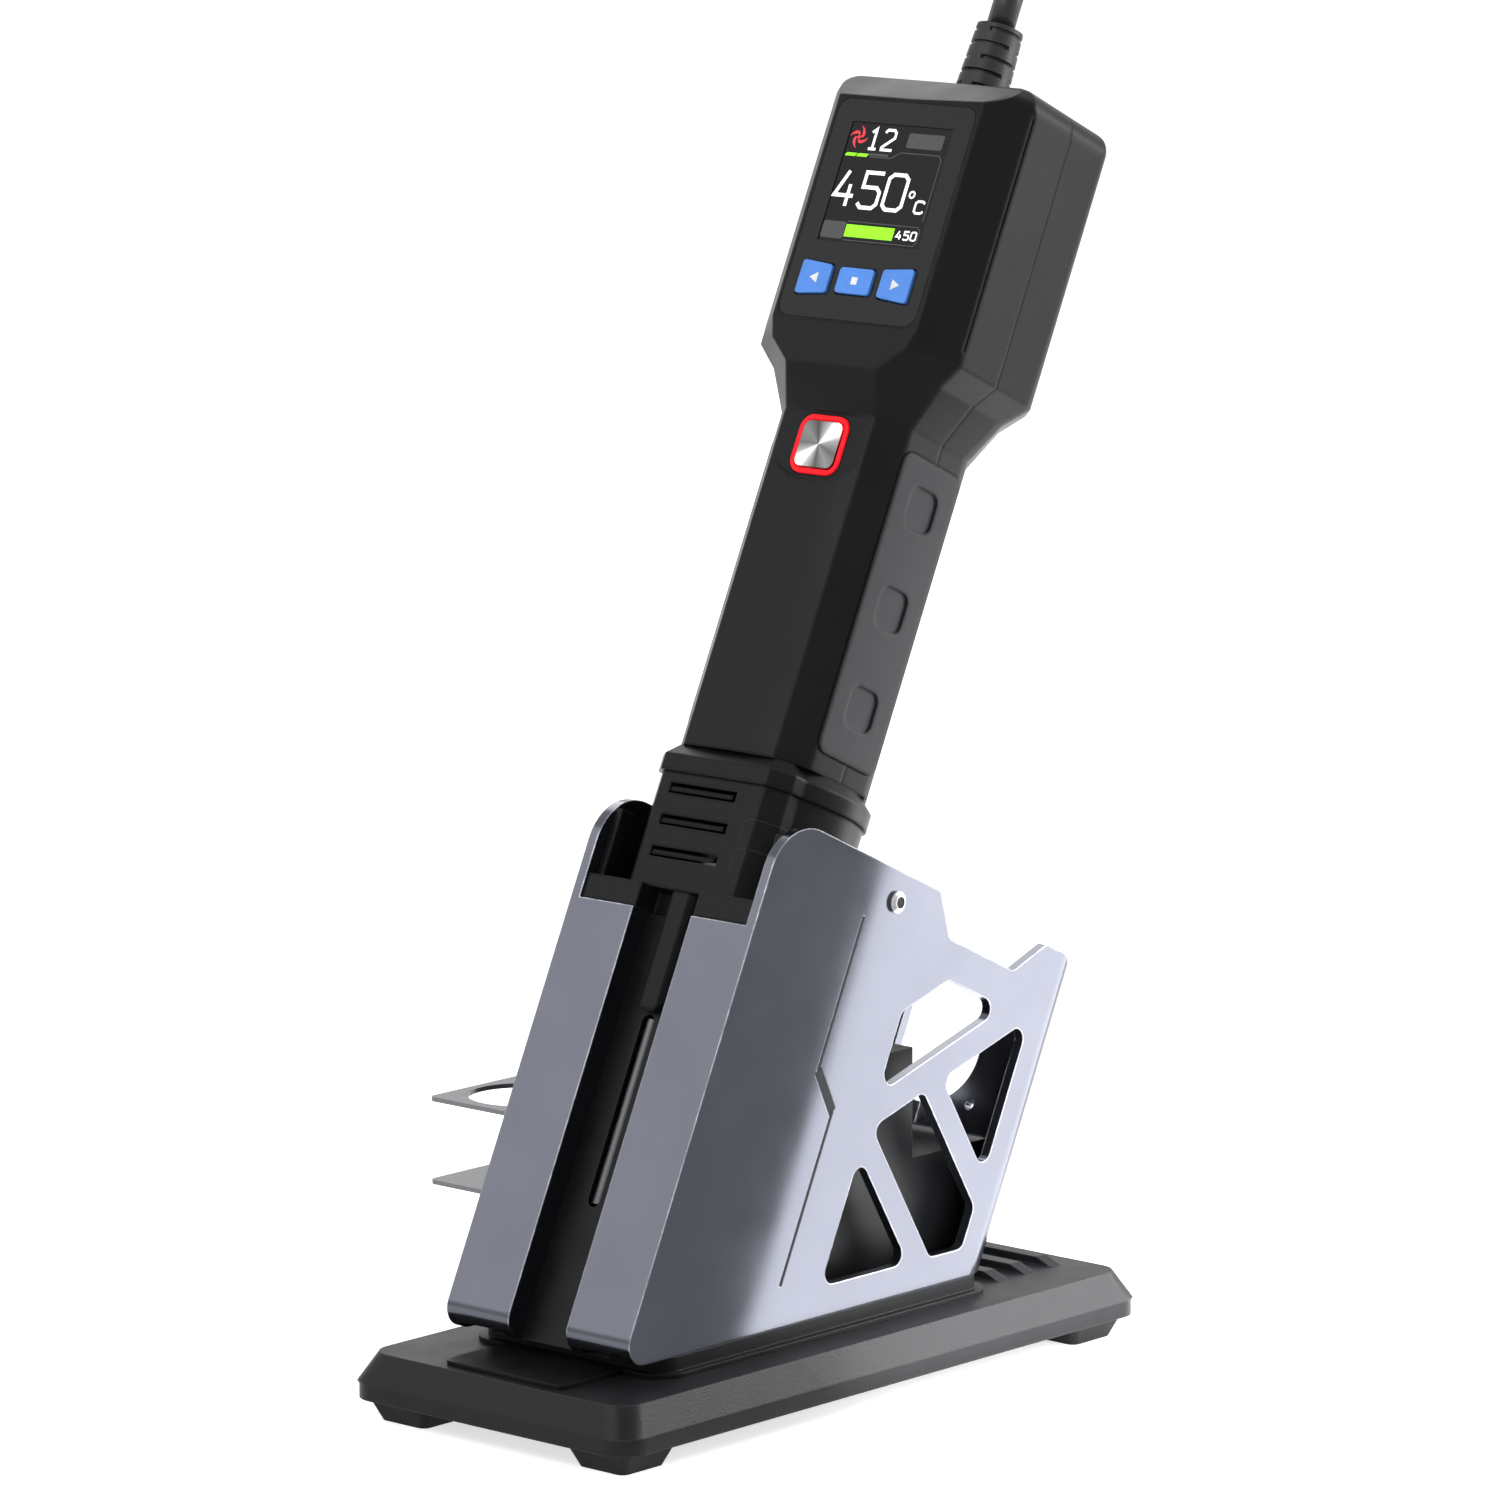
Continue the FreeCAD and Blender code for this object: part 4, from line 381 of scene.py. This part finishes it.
def spun_steel(centre):
    """A face turned on a lathe: rings of fine scratches, and fan-shaped glints painted into its colour
    (painted highlights and reflections).
    """
    shade = Shade("key_steel", (0.42, 0.415, 0.41), 0.28, metallic=1.0)
    shade.soften(0.3)
    offset = shade.node("ShaderNodeVectorMath", operation="SUBTRACT")
    offset.inputs[1].default_value = centre
    shade.link(shade.place(), offset.inputs[0])
    turn = shade.node("ShaderNodeVectorRotate", rotation_type="X_AXIS")
    turn.inputs["Angle"].default_value = LEAN_ANGLE
    shade.link(offset.outputs[0], turn.inputs["Vector"])
    split = shade.node("ShaderNodeSeparateXYZ")
    shade.link(turn.outputs[0], split.inputs[0])
    angle = shade.node("ShaderNodeMath", operation="ARCTAN2")
    shade.link(split.outputs["Z"], angle.inputs[0])
    shade.link(split.outputs["X"], angle.inputs[1])
    share = shade.spread(angle.outputs[0], 0.0, 1.0, -math.pi, math.pi)
    # Painted highlights and reflections: bright and dark fan-shaped sectors painted into the base colour by
    # the angle round the centre
    painted_glint_ramp = shade.node("ShaderNodeValToRGB")
    painted_glint_stops = [(0.0, 0.10), (0.06, 0.24), (0.12, 0.9), (0.18, 0.3), (0.27, 0.06), (0.36, 0.16), (0.44, 0.08),
             (0.54, 0.22), (0.62, 0.95), (0.70, 0.26), (0.80, 0.05), (0.9, 0.14), (1.0, 0.10)]
    while len(painted_glint_ramp.color_ramp.elements) < len(painted_glint_stops):
        painted_glint_ramp.color_ramp.elements.new(0.5)
    for element, (spot, level) in zip(painted_glint_ramp.color_ramp.elements, painted_glint_stops):
        element.position = spot
        element.color = (level, level * 0.985, level * 0.98, 1.0)
    shade.link(share, painted_glint_ramp.inputs[0])
    shade.paint(painted_glint_ramp.outputs[0])
    length = shade.node("ShaderNodeVectorMath", operation="LENGTH")
    shade.link(turn.outputs[0], length.inputs[0])
    rings = shade.node("ShaderNodeTexNoise", noise_dimensions="1D")
    rings.inputs["Scale"].default_value = 9000.0
    shade.link(length.outputs["Value"], rings.inputs["W"])
    bump = shade.node("ShaderNodeBump")
    bump.inputs["Distance"].default_value = 0.004 * MM
    shade.link(rings.outputs["Fac"], bump.inputs["Height"])
    shade.link(shade.normal, bump.inputs["Normal"])
    shade.link(bump.outputs[0], shade.bsdf.inputs["Normal"])
    return shade.material


def grip_rubber():
    shade = Shade("grip_rubber", (0.0155, 0.0165, 0.019), 0.52, specular=0.16)
    shade.soften(1.4)
    shade.vary(0.05, 80.0, 0.12)
    shade.grain(3600.0, 0.02, 3.0)
    return shade.material


def foot_rubber():
    shade = Shade("foot_rubber", (0.011, 0.011, 0.012), 0.7, specular=0.2)
    shade.soften(0.5)
    shade.vary(0.08, 150.0, 0.2)
    shade.grain(2500.0, 0.03, 3.0)
    return shade.material


def brushed(name, colour, roughness, scale=(1.0, 40.0, 1.0), depth=0.004):
    """Steel with fine scratches along one direction."""
    shade = Shade(name, colour, roughness, metallic=1.0)
    shade.soften(0.25)
    shade.vary(0.07, 220.0, 0.10)
    shade.rubbed_and_highlit_edges(0.3, tuple(min(c * 1.35, 1.0) for c in colour), 0.6)
    shade.grain(300.0, depth, 4.0, stretch=((0.0, 0.0, 0.0), scale))
    return shade.material


def plain(name, colour, roughness, scale, depth, specular=0.4):
    """A moulded or fired surface with a fine grain."""
    shade = Shade(name, colour, roughness, specular=specular)
    shade.soften(0.25)
    shade.vary(0.06, scale * 0.1, 0.12)
    shade.rubbed_and_highlit_edges(0.3, tuple(min(c * 1.6 + 0.01, 1.0) for c in colour), 0.5)
    shade.grain(scale, depth, 3.0)
    return shade.material


def lit(name, colour, strength, roughness=0.3):
    """A lit sign on the screen, with its dots."""
    shade = Shade(name, colour, roughness, specular=0.1)
    shade.vary(0.05, 900.0, 0.06)
    dots = shade.spread(shade.noise(4000.0, 1.0), 0.0, 1.0)
    dim = tuple(c * 0.9 for c in colour)
    shade.link(shade.mix(dots, dim, colour), shade.bsdf.inputs["Emission Color"])
    shade.set("Emission Strength", strength)
    return shade.material


POWER_CENTRE = LEAN @ Vector((0.0, GRIP_FACE - KEY_PROUD, 198.4))


def all_materials():
    steel = (0.56, 0.56, 0.565)
    return {
        "plate_paint": anodised(),
        "base_paint": powder_coat(),
        "black_sheet": black_sheet(),
        "casing_black": casing(),
        "gloss_black": gloss_panel(),
        "display": display_glass(),
        "key_blue": blue_key(),
        "ring_red": red_ring(),
        "key_steel": spun_steel(POWER_CENTRE),
        "grip_rubber": grip_rubber(),
        "foot_rubber": foot_rubber(),
        "sheet_steel": brushed("sheet_steel", (0.14, 0.141, 0.149), 0.32),
        "screw_steel": brushed("screw_steel", steel, 0.22, (8.0, 8.0, 8.0), 0.002),
        "tube_steel": brushed("tube_steel", (0.42, 0.41, 0.39), 0.3, (1.0, 1.0, 30.0)),
        "mica": plain("mica", (0.55, 0.48, 0.36), 0.6, 900.0, 0.02),
        "ceramic": plain("ceramic", (0.78, 0.76, 0.72), 0.75, 1500.0, 0.03),
        "circuit": plain("circuit", (0.02, 0.14, 0.07), 0.35, 1200.0, 0.01),
        "switch_black": plain("switch_black", (0.03, 0.03, 0.03), 0.45, 2000.0, 0.01),
        "motor_can": brushed("motor_can", steel, 0.25, (1.0, 1.0, 30.0)),
        "cord_black": plain("cord_black", (0.016, 0.0164, 0.018), 0.42, 1800.0, 0.008, 0.3),
    }


MATERIALS = all_materials()


def finish_of(obj, slot):
    obj.data.materials.clear()
    obj.data.materials.append(MATERIALS[slot])


def dress_cad():
    """Each CAD node gets the node material of its own slot."""
    for part in frame["record"]["subparts"]:
        obj = frame["nodes"][part["node"]]
        for holder in obj.material_slots:
            holder.material = MATERIALS[part["material_slot"]]


# ---------------------------------------------------------------- stage, light and camera
def build_camera():
    data = bpy.data.cameras.new("camera")
    data.lens = CAMERA_LENS
    data.sensor_width = CAMERA_SENSOR
    data.clip_end = 50.0
    obj = bpy.data.objects.new("camera", data)
    obj.location = CAMERA_PLACE
    obj.rotation_euler = [math.radians(turn) for turn in CAMERA_TURN]
    bpy.context.scene.collection.objects.link(obj)
    bpy.context.scene.camera = obj


def seen_directly(nodes, links):
    """1 for rays from the camera, off gloss and through glass, else 0."""
    path = nodes.new("ShaderNodeLightPath")
    total = path.outputs["Is Camera Ray"]
    for name in ("Is Glossy Ray", "Is Transmission Ray"):
        add = nodes.new("ShaderNodeMath")
        add.operation = "ADD"
        add.use_clamp = True
        links.new(total, add.inputs[0])
        links.new(path.outputs[name], add.inputs[1])
        total = add.outputs[0]
    return total


def build_world():
    world = bpy.data.worlds.new("studio")
    world.use_nodes = True
    nodes, links = world.node_tree.nodes, world.node_tree.links
    nodes.clear()
    output = nodes.new("ShaderNodeOutputWorld")
    mix = nodes.new("ShaderNodeMixShader")
    shown, soft = nodes.new("ShaderNodeBackground"), nodes.new("ShaderNodeBackground")
    shown.inputs["Color"].default_value = (1.0, 1.0, 1.0, 1.0)
    shown.inputs["Strength"].default_value = 1.0
    soft.inputs["Color"].default_value = (1.0, 1.0, 1.0, 1.0)
    soft.inputs["Strength"].default_value = WORLD_SOFT
    links.new(seen_directly(nodes, links), mix.inputs[0])
    links.new(soft.outputs[0], mix.inputs[1])
    links.new(shown.outputs[0], mix.inputs[2])
    links.new(mix.outputs[0], output.inputs["Surface"])
    bpy.context.scene.world = world


def floor_material():
    """Pale and plain; lifted towards white where it is seen, and still shaded by the object."""
    shade = Shade("floor", (0.82, 0.82, 0.82), 0.9, specular=0.0)
    shade.vary(0.02, 3.0, 0.005)
    shade.set("Emission Color", (FLOOR_GLOW, FLOOR_GLOW, FLOOR_GLOW, 1.0))
    shade.link(seen_directly(shade.nodes, shade.links), shade.bsdf.inputs["Emission Strength"])
    return shade.material


def build_floor():
    half = FLOOR_HALF
    verts = [(-half, -half, 0.0), (half, -half, 0.0), (half, half, 0.0), (-half, half, 0.0)]
    floor = mesh_from("floor", verts, [(0, 1, 2, 3)], Matrix.Identity(4))
    floor.data.materials.append(floor_material())


def area_light(name, place, target, size, power):
    data = bpy.data.lights.new(name, "AREA")
    data.shape = "RECTANGLE"
    data.size, data.size_y = size
    data.energy = power
    obj = bpy.data.objects.new(name, data)
    obj.location = place
    aim = Vector(target) - Vector(place)
    obj.rotation_euler = aim.to_track_quat("-Z", "Y").to_euler()
    bpy.context.scene.collection.objects.link(obj)


def studio_card(name, start, slope, length, material):
    """A leaning card beside the right side plate, hidden from the camera and casting no shadow; start is
    where its edge passes.
    """
    verts = []
    for z in (CARD_LOW, CARD_TOP):
        y = start.y + slope * (z - start.z)
        verts += [(start.x, y, z), (start.x, y + length, z)]
    card = mesh_from(name, verts, [(0, 1, 3, 2)], Matrix.Identity(4))
    card.data.materials.append(material)
    card.visible_camera = card.visible_shadow = False
    return card


def build_cards():
    """A bright card and a dark one that meet in a line with the gun's lean, as the side plate shows them."""
    out = Vector((PLATE_SPREAD * MM, 0.0, 0.0))
    spot = LEAN @ Vector((0.0, CARD_EDGE, 60.0)) + out
    mirrored = Vector((-CAMERA_PLACE[0], CAMERA_PLACE[1], CAMERA_PLACE[2])) + 2 * out
    away = (spot - mirrored).normalized()
    start = spot + away * CARD_OUT / away.x
    edge = LEAN.to_3x3() @ Vector((0.0, 0.0, 1.0))
    bright = Shade("card_bright", (0.8, 0.8, 0.8), 0.9, specular=0.0)
    bright.set("Emission Color", (1.0, 1.0, 1.0, 1.0))
    bright.set("Emission Strength", CARD_GLOW)
    studio_card("card_bright", start, edge.y / edge.z, CARD_LENGTH, bright.material)
    dark = Shade("card_dark", (0.3, 0.3, 0.3), 0.9, specular=0.0)
    dark.set("Emission Color", (1.0, 1.0, 1.0, 1.0))
    dark.set("Emission Strength", CARD_DIM)
    flag = studio_card("card_dark", start, edge.y / edge.z, -CARD_LENGTH, dark.material)
    flag.visible_diffuse = False


def build_lights():
    middle = (0.0, 0.0, 0.15)
    area_light("key", (0.1, -1.7, 1.5), middle, (0.9, 0.9), 12.0)
    area_light("left", (-1.2, 0.8, 1.1), middle, (0.7, 0.7), 3.8)
    area_light("top", (0.3, 0.6, 1.6), middle, (0.9, 0.9), 7.0)
    area_light("rim", (0.77, 1.07, 0.72), middle, (0.4, 0.4), 15.0)
    area_light("front", (-0.95, -0.86, 0.75), middle, (0.8, 0.8), 2.4)
    area_light("grip", (-0.5, -1.05, 0.97), (0.0, 0.05, 0.27), (0.3, 0.3), 2.2)
    area_light("right", (0.95, 1.05, 0.35), (0.0, 0.05, 0.25), (0.6, 0.6), 6.0)


# ---------------------------------------------------------------- cord and plug
def coil_point(turn):
    """A point on the coil's spiral, which runs in along the floor and out again on top."""
    pitch, middle = CORD_DIAMETER + COIL_GAP, COIL_TURNS / 2
    radius = COIL_OUTER - pitch * middle + pitch * math.hypot(turn - middle, 0.1)
    climb = min(max((turn - middle) * 2 + 0.5, 0.0), 1.0)
    height = CORD_DIAMETER / 2 + pitch * (1 - math.cos(math.pi * climb)) / 2
    angle = math.tau * turn
    return (COIL_CENTRE[0] + radius * math.cos(angle), COIL_CENTRE[1] + radius * math.sin(angle), height)


def cord_points():
    """The route's points, then the coil's, then the straight end that enters the plug."""
    steps = int(COIL_TURNS * COIL_STEPS)
    coil = [coil_point(COIL_TURNS * i / steps) for i in range(steps + 1)]
    last = coil[-1]
    end = (last[0] - PLUG_LEAD, last[1], last[2])
    return CORD_ROUTE[:-1] + coil + [end]


def cord_line():
    """Points read from the cord's smooth spline."""
    points = cord_points()
    data = bpy.data.curves.new("cord_spline", "CURVE")
    data.dimensions = "3D"
    data.resolution_u = 10
    spline = data.splines.new("NURBS")
    spline.points.add(len(points) - 1)
    for point, place in zip(spline.points, points):
        point.co = (*(Vector(place) * MM), 1.0)
    spline.order_u = 3
    spline.use_endpoint_u = True
    holder = bpy.data.objects.new("cord_spline", data)
    mesh = bpy.data.meshes.new_from_object(holder)
    line = [vertex.co.copy() for vertex in mesh.vertices]
    bpy.data.objects.remove(holder)
    bpy.data.meshes.remove(mesh)
    return line


def tube_along(name, line, radius, sides=20):
    """A closed round tube that follows a line without twisting."""
    verts, faces = [], []
    across = Vector((1.0, 0.0, 0.0))
    for i, here in enumerate(line):
        ahead = (line[min(i + 1, len(line) - 1)] - line[max(i - 1, 0)]).normalized()
        across = (across - ahead * across.dot(ahead)).normalized()
        beside = ahead.cross(across)
        for side in range(sides):
            angle = math.tau * side / sides
            verts.append(here + (across * math.cos(angle) + beside * math.sin(angle)) * radius)
    for i in range(len(line) - 1):
        for side in range(sides):
            beyond = (side + 1) % sides
            faces.append((i * sides + side, i * sides + beyond,
                          (i + 1) * sides + beyond, (i + 1) * sides + side))
    faces.append(tuple(reversed(range(sides))))
    last = (len(line) - 1) * sides
    faces.append(tuple(last + side for side in range(sides)))
    return mesh_from(name, verts, faces, Matrix.Identity(4), smooth=True)


def build_cord():
    line = cord_line()
    cord = tube_along("power_cord", line, CORD_DIAMETER / 2 * MM)
    finish_of(cord, "cord_black")
    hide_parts("cord", "cord_coil")
    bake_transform(cord)


# ---------------------------------------------------------------- screen, signs and seams
GLASS = FACE_FRONT + SCREEN_SINK
DIGITS = {
    "0": [[(0.2, 0), (0.8, 0), (1, 0.12), (1, 0.88), (0.8, 1), (0.2, 1), (0, 0.88), (0, 0.12), (0.2, 0)]],
    "1": [[(0.15, 0.82), (0.5, 1), (0.5, 0)], [(0.15, 0), (0.85, 0)]],
    "2": [[(0, 0.86), (0.2, 1), (0.8, 1), (1, 0.88), (1, 0.62), (0, 0.12), (0, 0), (1, 0)]],
    "4": [[(0.5, 1), (0, 0.3), (1, 0.3)], [(0.72, 0.62), (0.72, 0)]],
    "5": [[(1, 1), (0.08, 1), (0.08, 0.58), (0.8, 0.58), (1, 0.46), (1, 0.12), (0.8, 0), (0.2, 0),
           (0, 0.12)]],
    "C": [[(1, 0.84), (0.78, 1), (0.22, 1), (0, 0.84), (0, 0.16), (0.22, 0), (0.78, 0), (1, 0.16)]],
}


def write(plates, text, left, low, width, height, gap, line, depth):
    """Digits as strokes of even width."""
    inset = line / 2
    for number, letter in enumerate(text):
        start = left + number * (width + gap) + inset
        for stroke in DIGITS[letter]:
            points = [(start + x * (width - line), low + inset + z * (height - line)) for x, z in stroke]
            plates.stroke(points, line, depth)


def sign_piece(plates, name, material, body, matrix=LEAN):
    obj = plates.piece(name, matrix)
    obj.data.materials.append(material)
    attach(obj, body)
    return obj


def build_screen_signs():
    top = GLASS - 0.03
    white, grey, green, red = Plates(), Plates(), Plates(), Plates()
    write(white, "12", -8.7, 264.1, 3.6, 5.2, 0.5, 0.62, top)
    write(white, "450", -14.0, 250.6, 6.2, 8.9, 0.9, 0.86, top)
    write(white, "C", 9.6, 250.6, 3.0, 3.2, 0.3, 0.52, top)
    circle = [(8.1 + 0.7 * math.cos(a), 254.9 + 0.7 * math.sin(a))
              for a in (math.tau * i / 14 for i in range(14))]
    white.stroke(circle, 0.4, top, closed=True)
    write(white, "450", 6.9, 244.5, 1.75, 2.2, 0.3, 0.35, top)
    grey.box(2.4, 265.3, 12.4, 268.7, top, radius=0.5)
    grey.box(-14.0, 243.6, -7.6, 247.5, top, radius=0.6)
    grey.stroke([(-6.9, 262.6), (-0.9, 262.6), (1.6, 264.1), (12.2, 264.1), (13.2, 263.1), (13.2, 249.0)],
                0.22, top + 0.01)
    grey.stroke([(-7.4, 247.7), (12.4, 247.7), (13.2, 246.9), (13.2, 244.2), (12.4, 243.4), (-7.4, 243.4)],
                0.2, top + 0.01)
    grey.box(-7.2, 262.9, -1.8, 263.4, top)
    green.box(-7.4, 244.2, 6.2, 247.0, top)
    green.polygon([(-13.9, 262.5), (-11.0, 262.5), (-10.5, 263.2), (-13.4, 263.2)], top)
    green.polygon([(-10.6, 262.5), (-7.8, 262.5), (-7.3, 263.2), (-10.1, 263.2)], top)
    fan_sign(red, -11.4, 266.9, top)
    sign_piece(white, "screen_digits", lit("screen_white", (0.86, 0.88, 0.88), 0.9), "gun")
    sign_piece(grey, "screen_frames", lit("screen_grey", (0.055, 0.056, 0.058), 0.7), "gun")
    sign_piece(green, "screen_bars", lit("screen_green", (0.25, 0.85, 0.02), 0.8), "gun")
    sign_piece(red, "screen_fan", lit("screen_red", (0.62, 0.04, 0.06), 0.8), "gun")


def fan_sign(plates, x, z, depth):
    """Four hooked blades round a dot."""
    for blade in range(4):
        start = math.tau * blade / 4
        inner, outer = [], []
        for step in range(7):
            share = step / 6
            reach = 0.55 + 1.95 * share
            angle = start + 1.5 * share
            spread = 0.34 * math.sin(math.pi * min(share + 0.12, 1.0)) + 0.08
            inner.append((x + reach * math.cos(angle - spread), z + reach * math.sin(angle - spread)))
            outer.append((x + reach * math.cos(angle + spread), z + reach * math.sin(angle + spread)))
        plates.polygon(inner + outer[::-1], depth)
    dot = [(x + 0.42 * math.cos(a), z + 0.42 * math.sin(a)) for a in (math.tau * i / 12 for i in range(12))]
    plates.polygon(dot, depth)


def build_key_signs():
    face = FACE_FRONT - KEY_PROUD - 0.03
    white = plain("key_white", (0.86, 0.88, 0.9), 0.4, 2500.0, 0.004)
    middle, height, reach = 11.45, 234.2, 1.25
    signs = {
        "left_button": [(-middle - reach, height), (-middle + reach * 0.8, height - reach),
                        (-middle + reach * 0.8, height + reach)],
        "stop_button": round_box(-0.85, height - 0.85, 0.85, height + 0.85, 0.1, 2),
        "right_button": [(middle + reach, height), (middle - reach * 0.8, height + reach),
                         (middle - reach * 0.8, height - reach)],
    }
    for body, outline in signs.items():
        plates = Plates()
        plates.polygon(outline, face)
        sign_piece(plates, body + "_sign", white, body)


def side_strip(name, points, width, x, thick=0.03):
    """A thin dark strip on a face that looks to the side, given as depth and height."""
    sign = -1 if x < 0 else 1
    sides = [mitre(points, i, width / 2, False) for i in range(len(points))]
    verts, faces = [], []
    for i in range(len(points) - 1):
        start = len(verts)
        quad = [sides[i][0], sides[i + 1][0], sides[i + 1][1], sides[i][1]]
        for out in (0.0, sign * thick):
            verts.extend((x + out, y, z) for y, z in quad)
        faces.extend([(start, start + 1, start + 2, start + 3), (start + 4, start + 5, start + 6, start + 7)])
        for a in range(4):
            b = (a + 1) % 4
            faces.append((start + a, start + b, start + b + 4, start + a + 4))
    return mesh_from(name, verts, faces, LEAN)


def build_plate_lines():
    """Dark fill of the engraved line on each side plate."""
    dark = plain("line_dark", (0.022, 0.023, 0.028), 0.6, 1500.0, 0.01, 0.1)
    base, width, thick = PLATE_SPREAD - LINE_DEEP, LINE_WIDTH + 0.2, LINE_DEEP + 0.02
    for side, name in ((1, "right"), (-1, "left")):
        line = [(33.1, 103.8), (33.1, 69.4), (41.4, 62.6), (41.4, 23.6)]
        thin = side_strip(f"plate_line_{name}_high", line[:2], width, side * base, thick)
        low = side_strip(f"plate_line_{name}_low", line[2:], width, side * base, thick)
        wedge = side_strip(f"plate_wedge_{name}", [(33.1, 69.4), (41.4, 62.6)], 2.4, side * base, thick)
        for piece in (thin, low, wedge):
            piece.data.materials.append(dark)
            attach(piece, "stand")


def block(name, corners, matrix=LEAN):
    """A closed form between two rings of the same number of corners."""
    near, far = corners
    count = len(near)
    faces = [tuple(reversed(range(count))), tuple(range(count, 2 * count))]
    faces += [(i, (i + 1) % count, (i + 1) % count + count, i + count) for i in range(count)]
    obj = mesh_from(name, [*near, *far], faces, matrix)
    tidy = bmesh.new()
    tidy.from_mesh(obj.data)
    bmesh.ops.recalc_face_normals(tidy, faces=tidy.faces)
    tidy.to_mesh(obj.data)
    tidy.free()
    return obj


def bevelled(obj, width, segments=3):
    modifier = obj.modifiers.new("edge", "BEVEL")
    modifier.width = width * MM
    modifier.segments = segments
    modifier.limit_method = "ANGLE"


def build_bolt_socket_shades():
    """Painted shade: a dark hexagon on each bolt's head, standing in for the shade down in its hex socket."""
    # Painted shade: the hollow of the hex socket is drawn as a dark sheet on the head
    dark = plain("socket_shade", (0.004, 0.004, 0.0045), 0.6, 1500.0, 0.01, 0.2)
    for side, name in ((1, "right"), (-1, "left")):
        rings = []
        for out in (BOLT_OUT, BOLT_OUT + 0.05):
            x = side * (PLATE_SPREAD + out)
            rings.append([(x, BOLT_BACK + 1.28 * math.cos(a), BOLT_HEIGHT + 1.28 * math.sin(a))
                          for a in (math.tau * i / 6 for i in range(6))])
        piece = block(f"bolt_socket_{name}", rings)
        piece.data.materials.append(dark)
        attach(piece, "stand")


def build_slot_strip():
    """The bowed steel strip that shows in the heat shield's slot."""
    wide, steps = SLOT_HALF - 0.3, 8
    verts, faces = [], []
    for z in (SLOT_LOW + 0.8, SLOT_TOP - 0.8):
        for thick in (0.0, 0.6):
            for i in range(steps + 1):
                x = wide * (2 * i / steps - 1)
                verts.append((x, STRIP_FACE + 0.7 * (x / wide) ** 2 + thick, z))
    row = steps + 1
    for i in range(steps):
        faces.append((i, i + 1, i + 1 + 2 * row, i + 2 * row))
        faces.append((i + row, i + 3 * row, i + 1 + 3 * row, i + 1 + row))
        faces.append((i, i + row, i + 1 + row, i + 1))
        faces.append((i + 2 * row, i + 1 + 2 * row, i + 1 + 3 * row, i + 3 * row))
    faces.append((0, 2 * row, 3 * row, row))
    faces.append((steps, steps + row, steps + 3 * row, steps + 2 * row))
    strip = mesh_from("slot_strip", verts, faces, LEAN, smooth=False)
    strip.data.materials.append(brushed("strip_steel", (0.07, 0.07, 0.075), 0.35, (1.0, 1.0, 30.0)))
    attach(strip, "stand")


def build_louvres():
    """A slanted slat in each of the collar's vents, with a thin gap above and below it."""
    for number in range(3):
        low = COLLAR_LOW + VENT_FIRST + number * VENT_PITCH
        left, right = VENT_LEFT + 0.1, VENT_RIGHT - 1.3
        front, back = COLLAR_FACE + 0.35, COLLAR_FACE + 1.6
        section = [(front, low + 0.5), (front, low + 1.55), (back, low + 2.0), (back, low + 0.95)]
        rings = [[(x, y, z) for y, z in section] for x in (left, right)]
        slat = block(f"collar_louvre_{number}", rings)
        bevelled(slat, 0.18)
        finish_of(slat, "casing_black")
        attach(slat, "gun")


def build_plug_blades():
    """Steel over the plug's two flat blades."""
    last = cord_points()[-1]
    start = last[0] - PLUG_LENGTH + 0.5
    for number, rise in enumerate((-BLADE_SPREAD / 2, BLADE_SPREAD / 2)):
        half, thick = BLADE_WIDTH / 2 + 0.08, BLADE_THICK / 2 + 0.08
        ring = [(last[1] - half, last[2] + rise - thick), (last[1] + half, last[2] + rise - thick),
                (last[1] + half, last[2] + rise + thick), (last[1] - half, last[2] + rise + thick)]
        ends = (start, start - BLADE_LENGTH - 0.6)
        blade = block(f"plug_blade_{number}", [[(x, y, z) for y, z in ring] for x in ends], UPRIGHT)
        bevelled(blade, 0.35)
        finish_of(blade, "screw_steel")
        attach(blade, "stand")


def build_collar_seams():
    """The thin panel joints beside the collar's vents."""
    dark = plain("seam_dark", (0.004, 0.004, 0.004), 0.7, 1500.0, 0.01)
    plates = Plates()
    depth = COLLAR_FACE - 0.02
    for top, low in ((114.8, 108.3), (108.3, 100.8)):
        plates.stroke([(11.6, low + 0.6), (11.6, top - 1.2), (12.2, top - 0.4), (13.0, top)], 0.22, depth)
    sign_piece(plates, "collar_seams", dark, "gun")
    inner = COLLAR_HALF - COLLAR_CHAMFER
    path = [(13.0, COLLAR_FACE - 0.03), (inner + 0.02, COLLAR_FACE - 0.03),
            (COLLAR_HALF + 0.03, COLLAR_FACE + COLLAR_CHAMFER - 0.02), (COLLAR_HALF + 0.03, 12.0)]
    for number, height in enumerate((114.8, 108.3)):
        verts = [(x, y, height + rise) for rise in (-0.11, 0.11) for x, y in path]
        verts += [(x - 0.05, y + 0.05, z) for x, y, z in verts]
        count = len(path)
        faces = []
        for i in range(count - 1):
            faces.append((i, i + 1, i + 1 + count, i + count))
            faces.append((i + 2 * count, i + 3 * count, i + 1 + 3 * count, i + 1 + 2 * count))
            faces.append((i, i + 2 * count, i + 1 + 2 * count, i + 1))
            faces.append((i + count, i + 1 + count, i + 1 + 3 * count, i + 3 * count))
        faces.append((0, count, 3 * count, 2 * count))
        faces.append((count - 1, 3 * count - 1, 4 * count - 1, 2 * count - 1))
        seam = mesh_from(f"collar_joint_{number}", verts, faces, LEAN)
        seam.data.materials.append(dark)
        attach(seam, "gun")


# ---------------------------------------------------------------- build
bpy.context.scene.view_settings.view_transform = "Standard"
build_camera()
build_world()
build_floor()
build_lights()
build_cards()
dress_cad()
build_cord()
build_screen_signs()
build_key_signs()
build_plate_lines()
build_collar_seams()
build_bolt_socket_shades()
build_slot_strip()
build_louvres()
build_plug_blades()
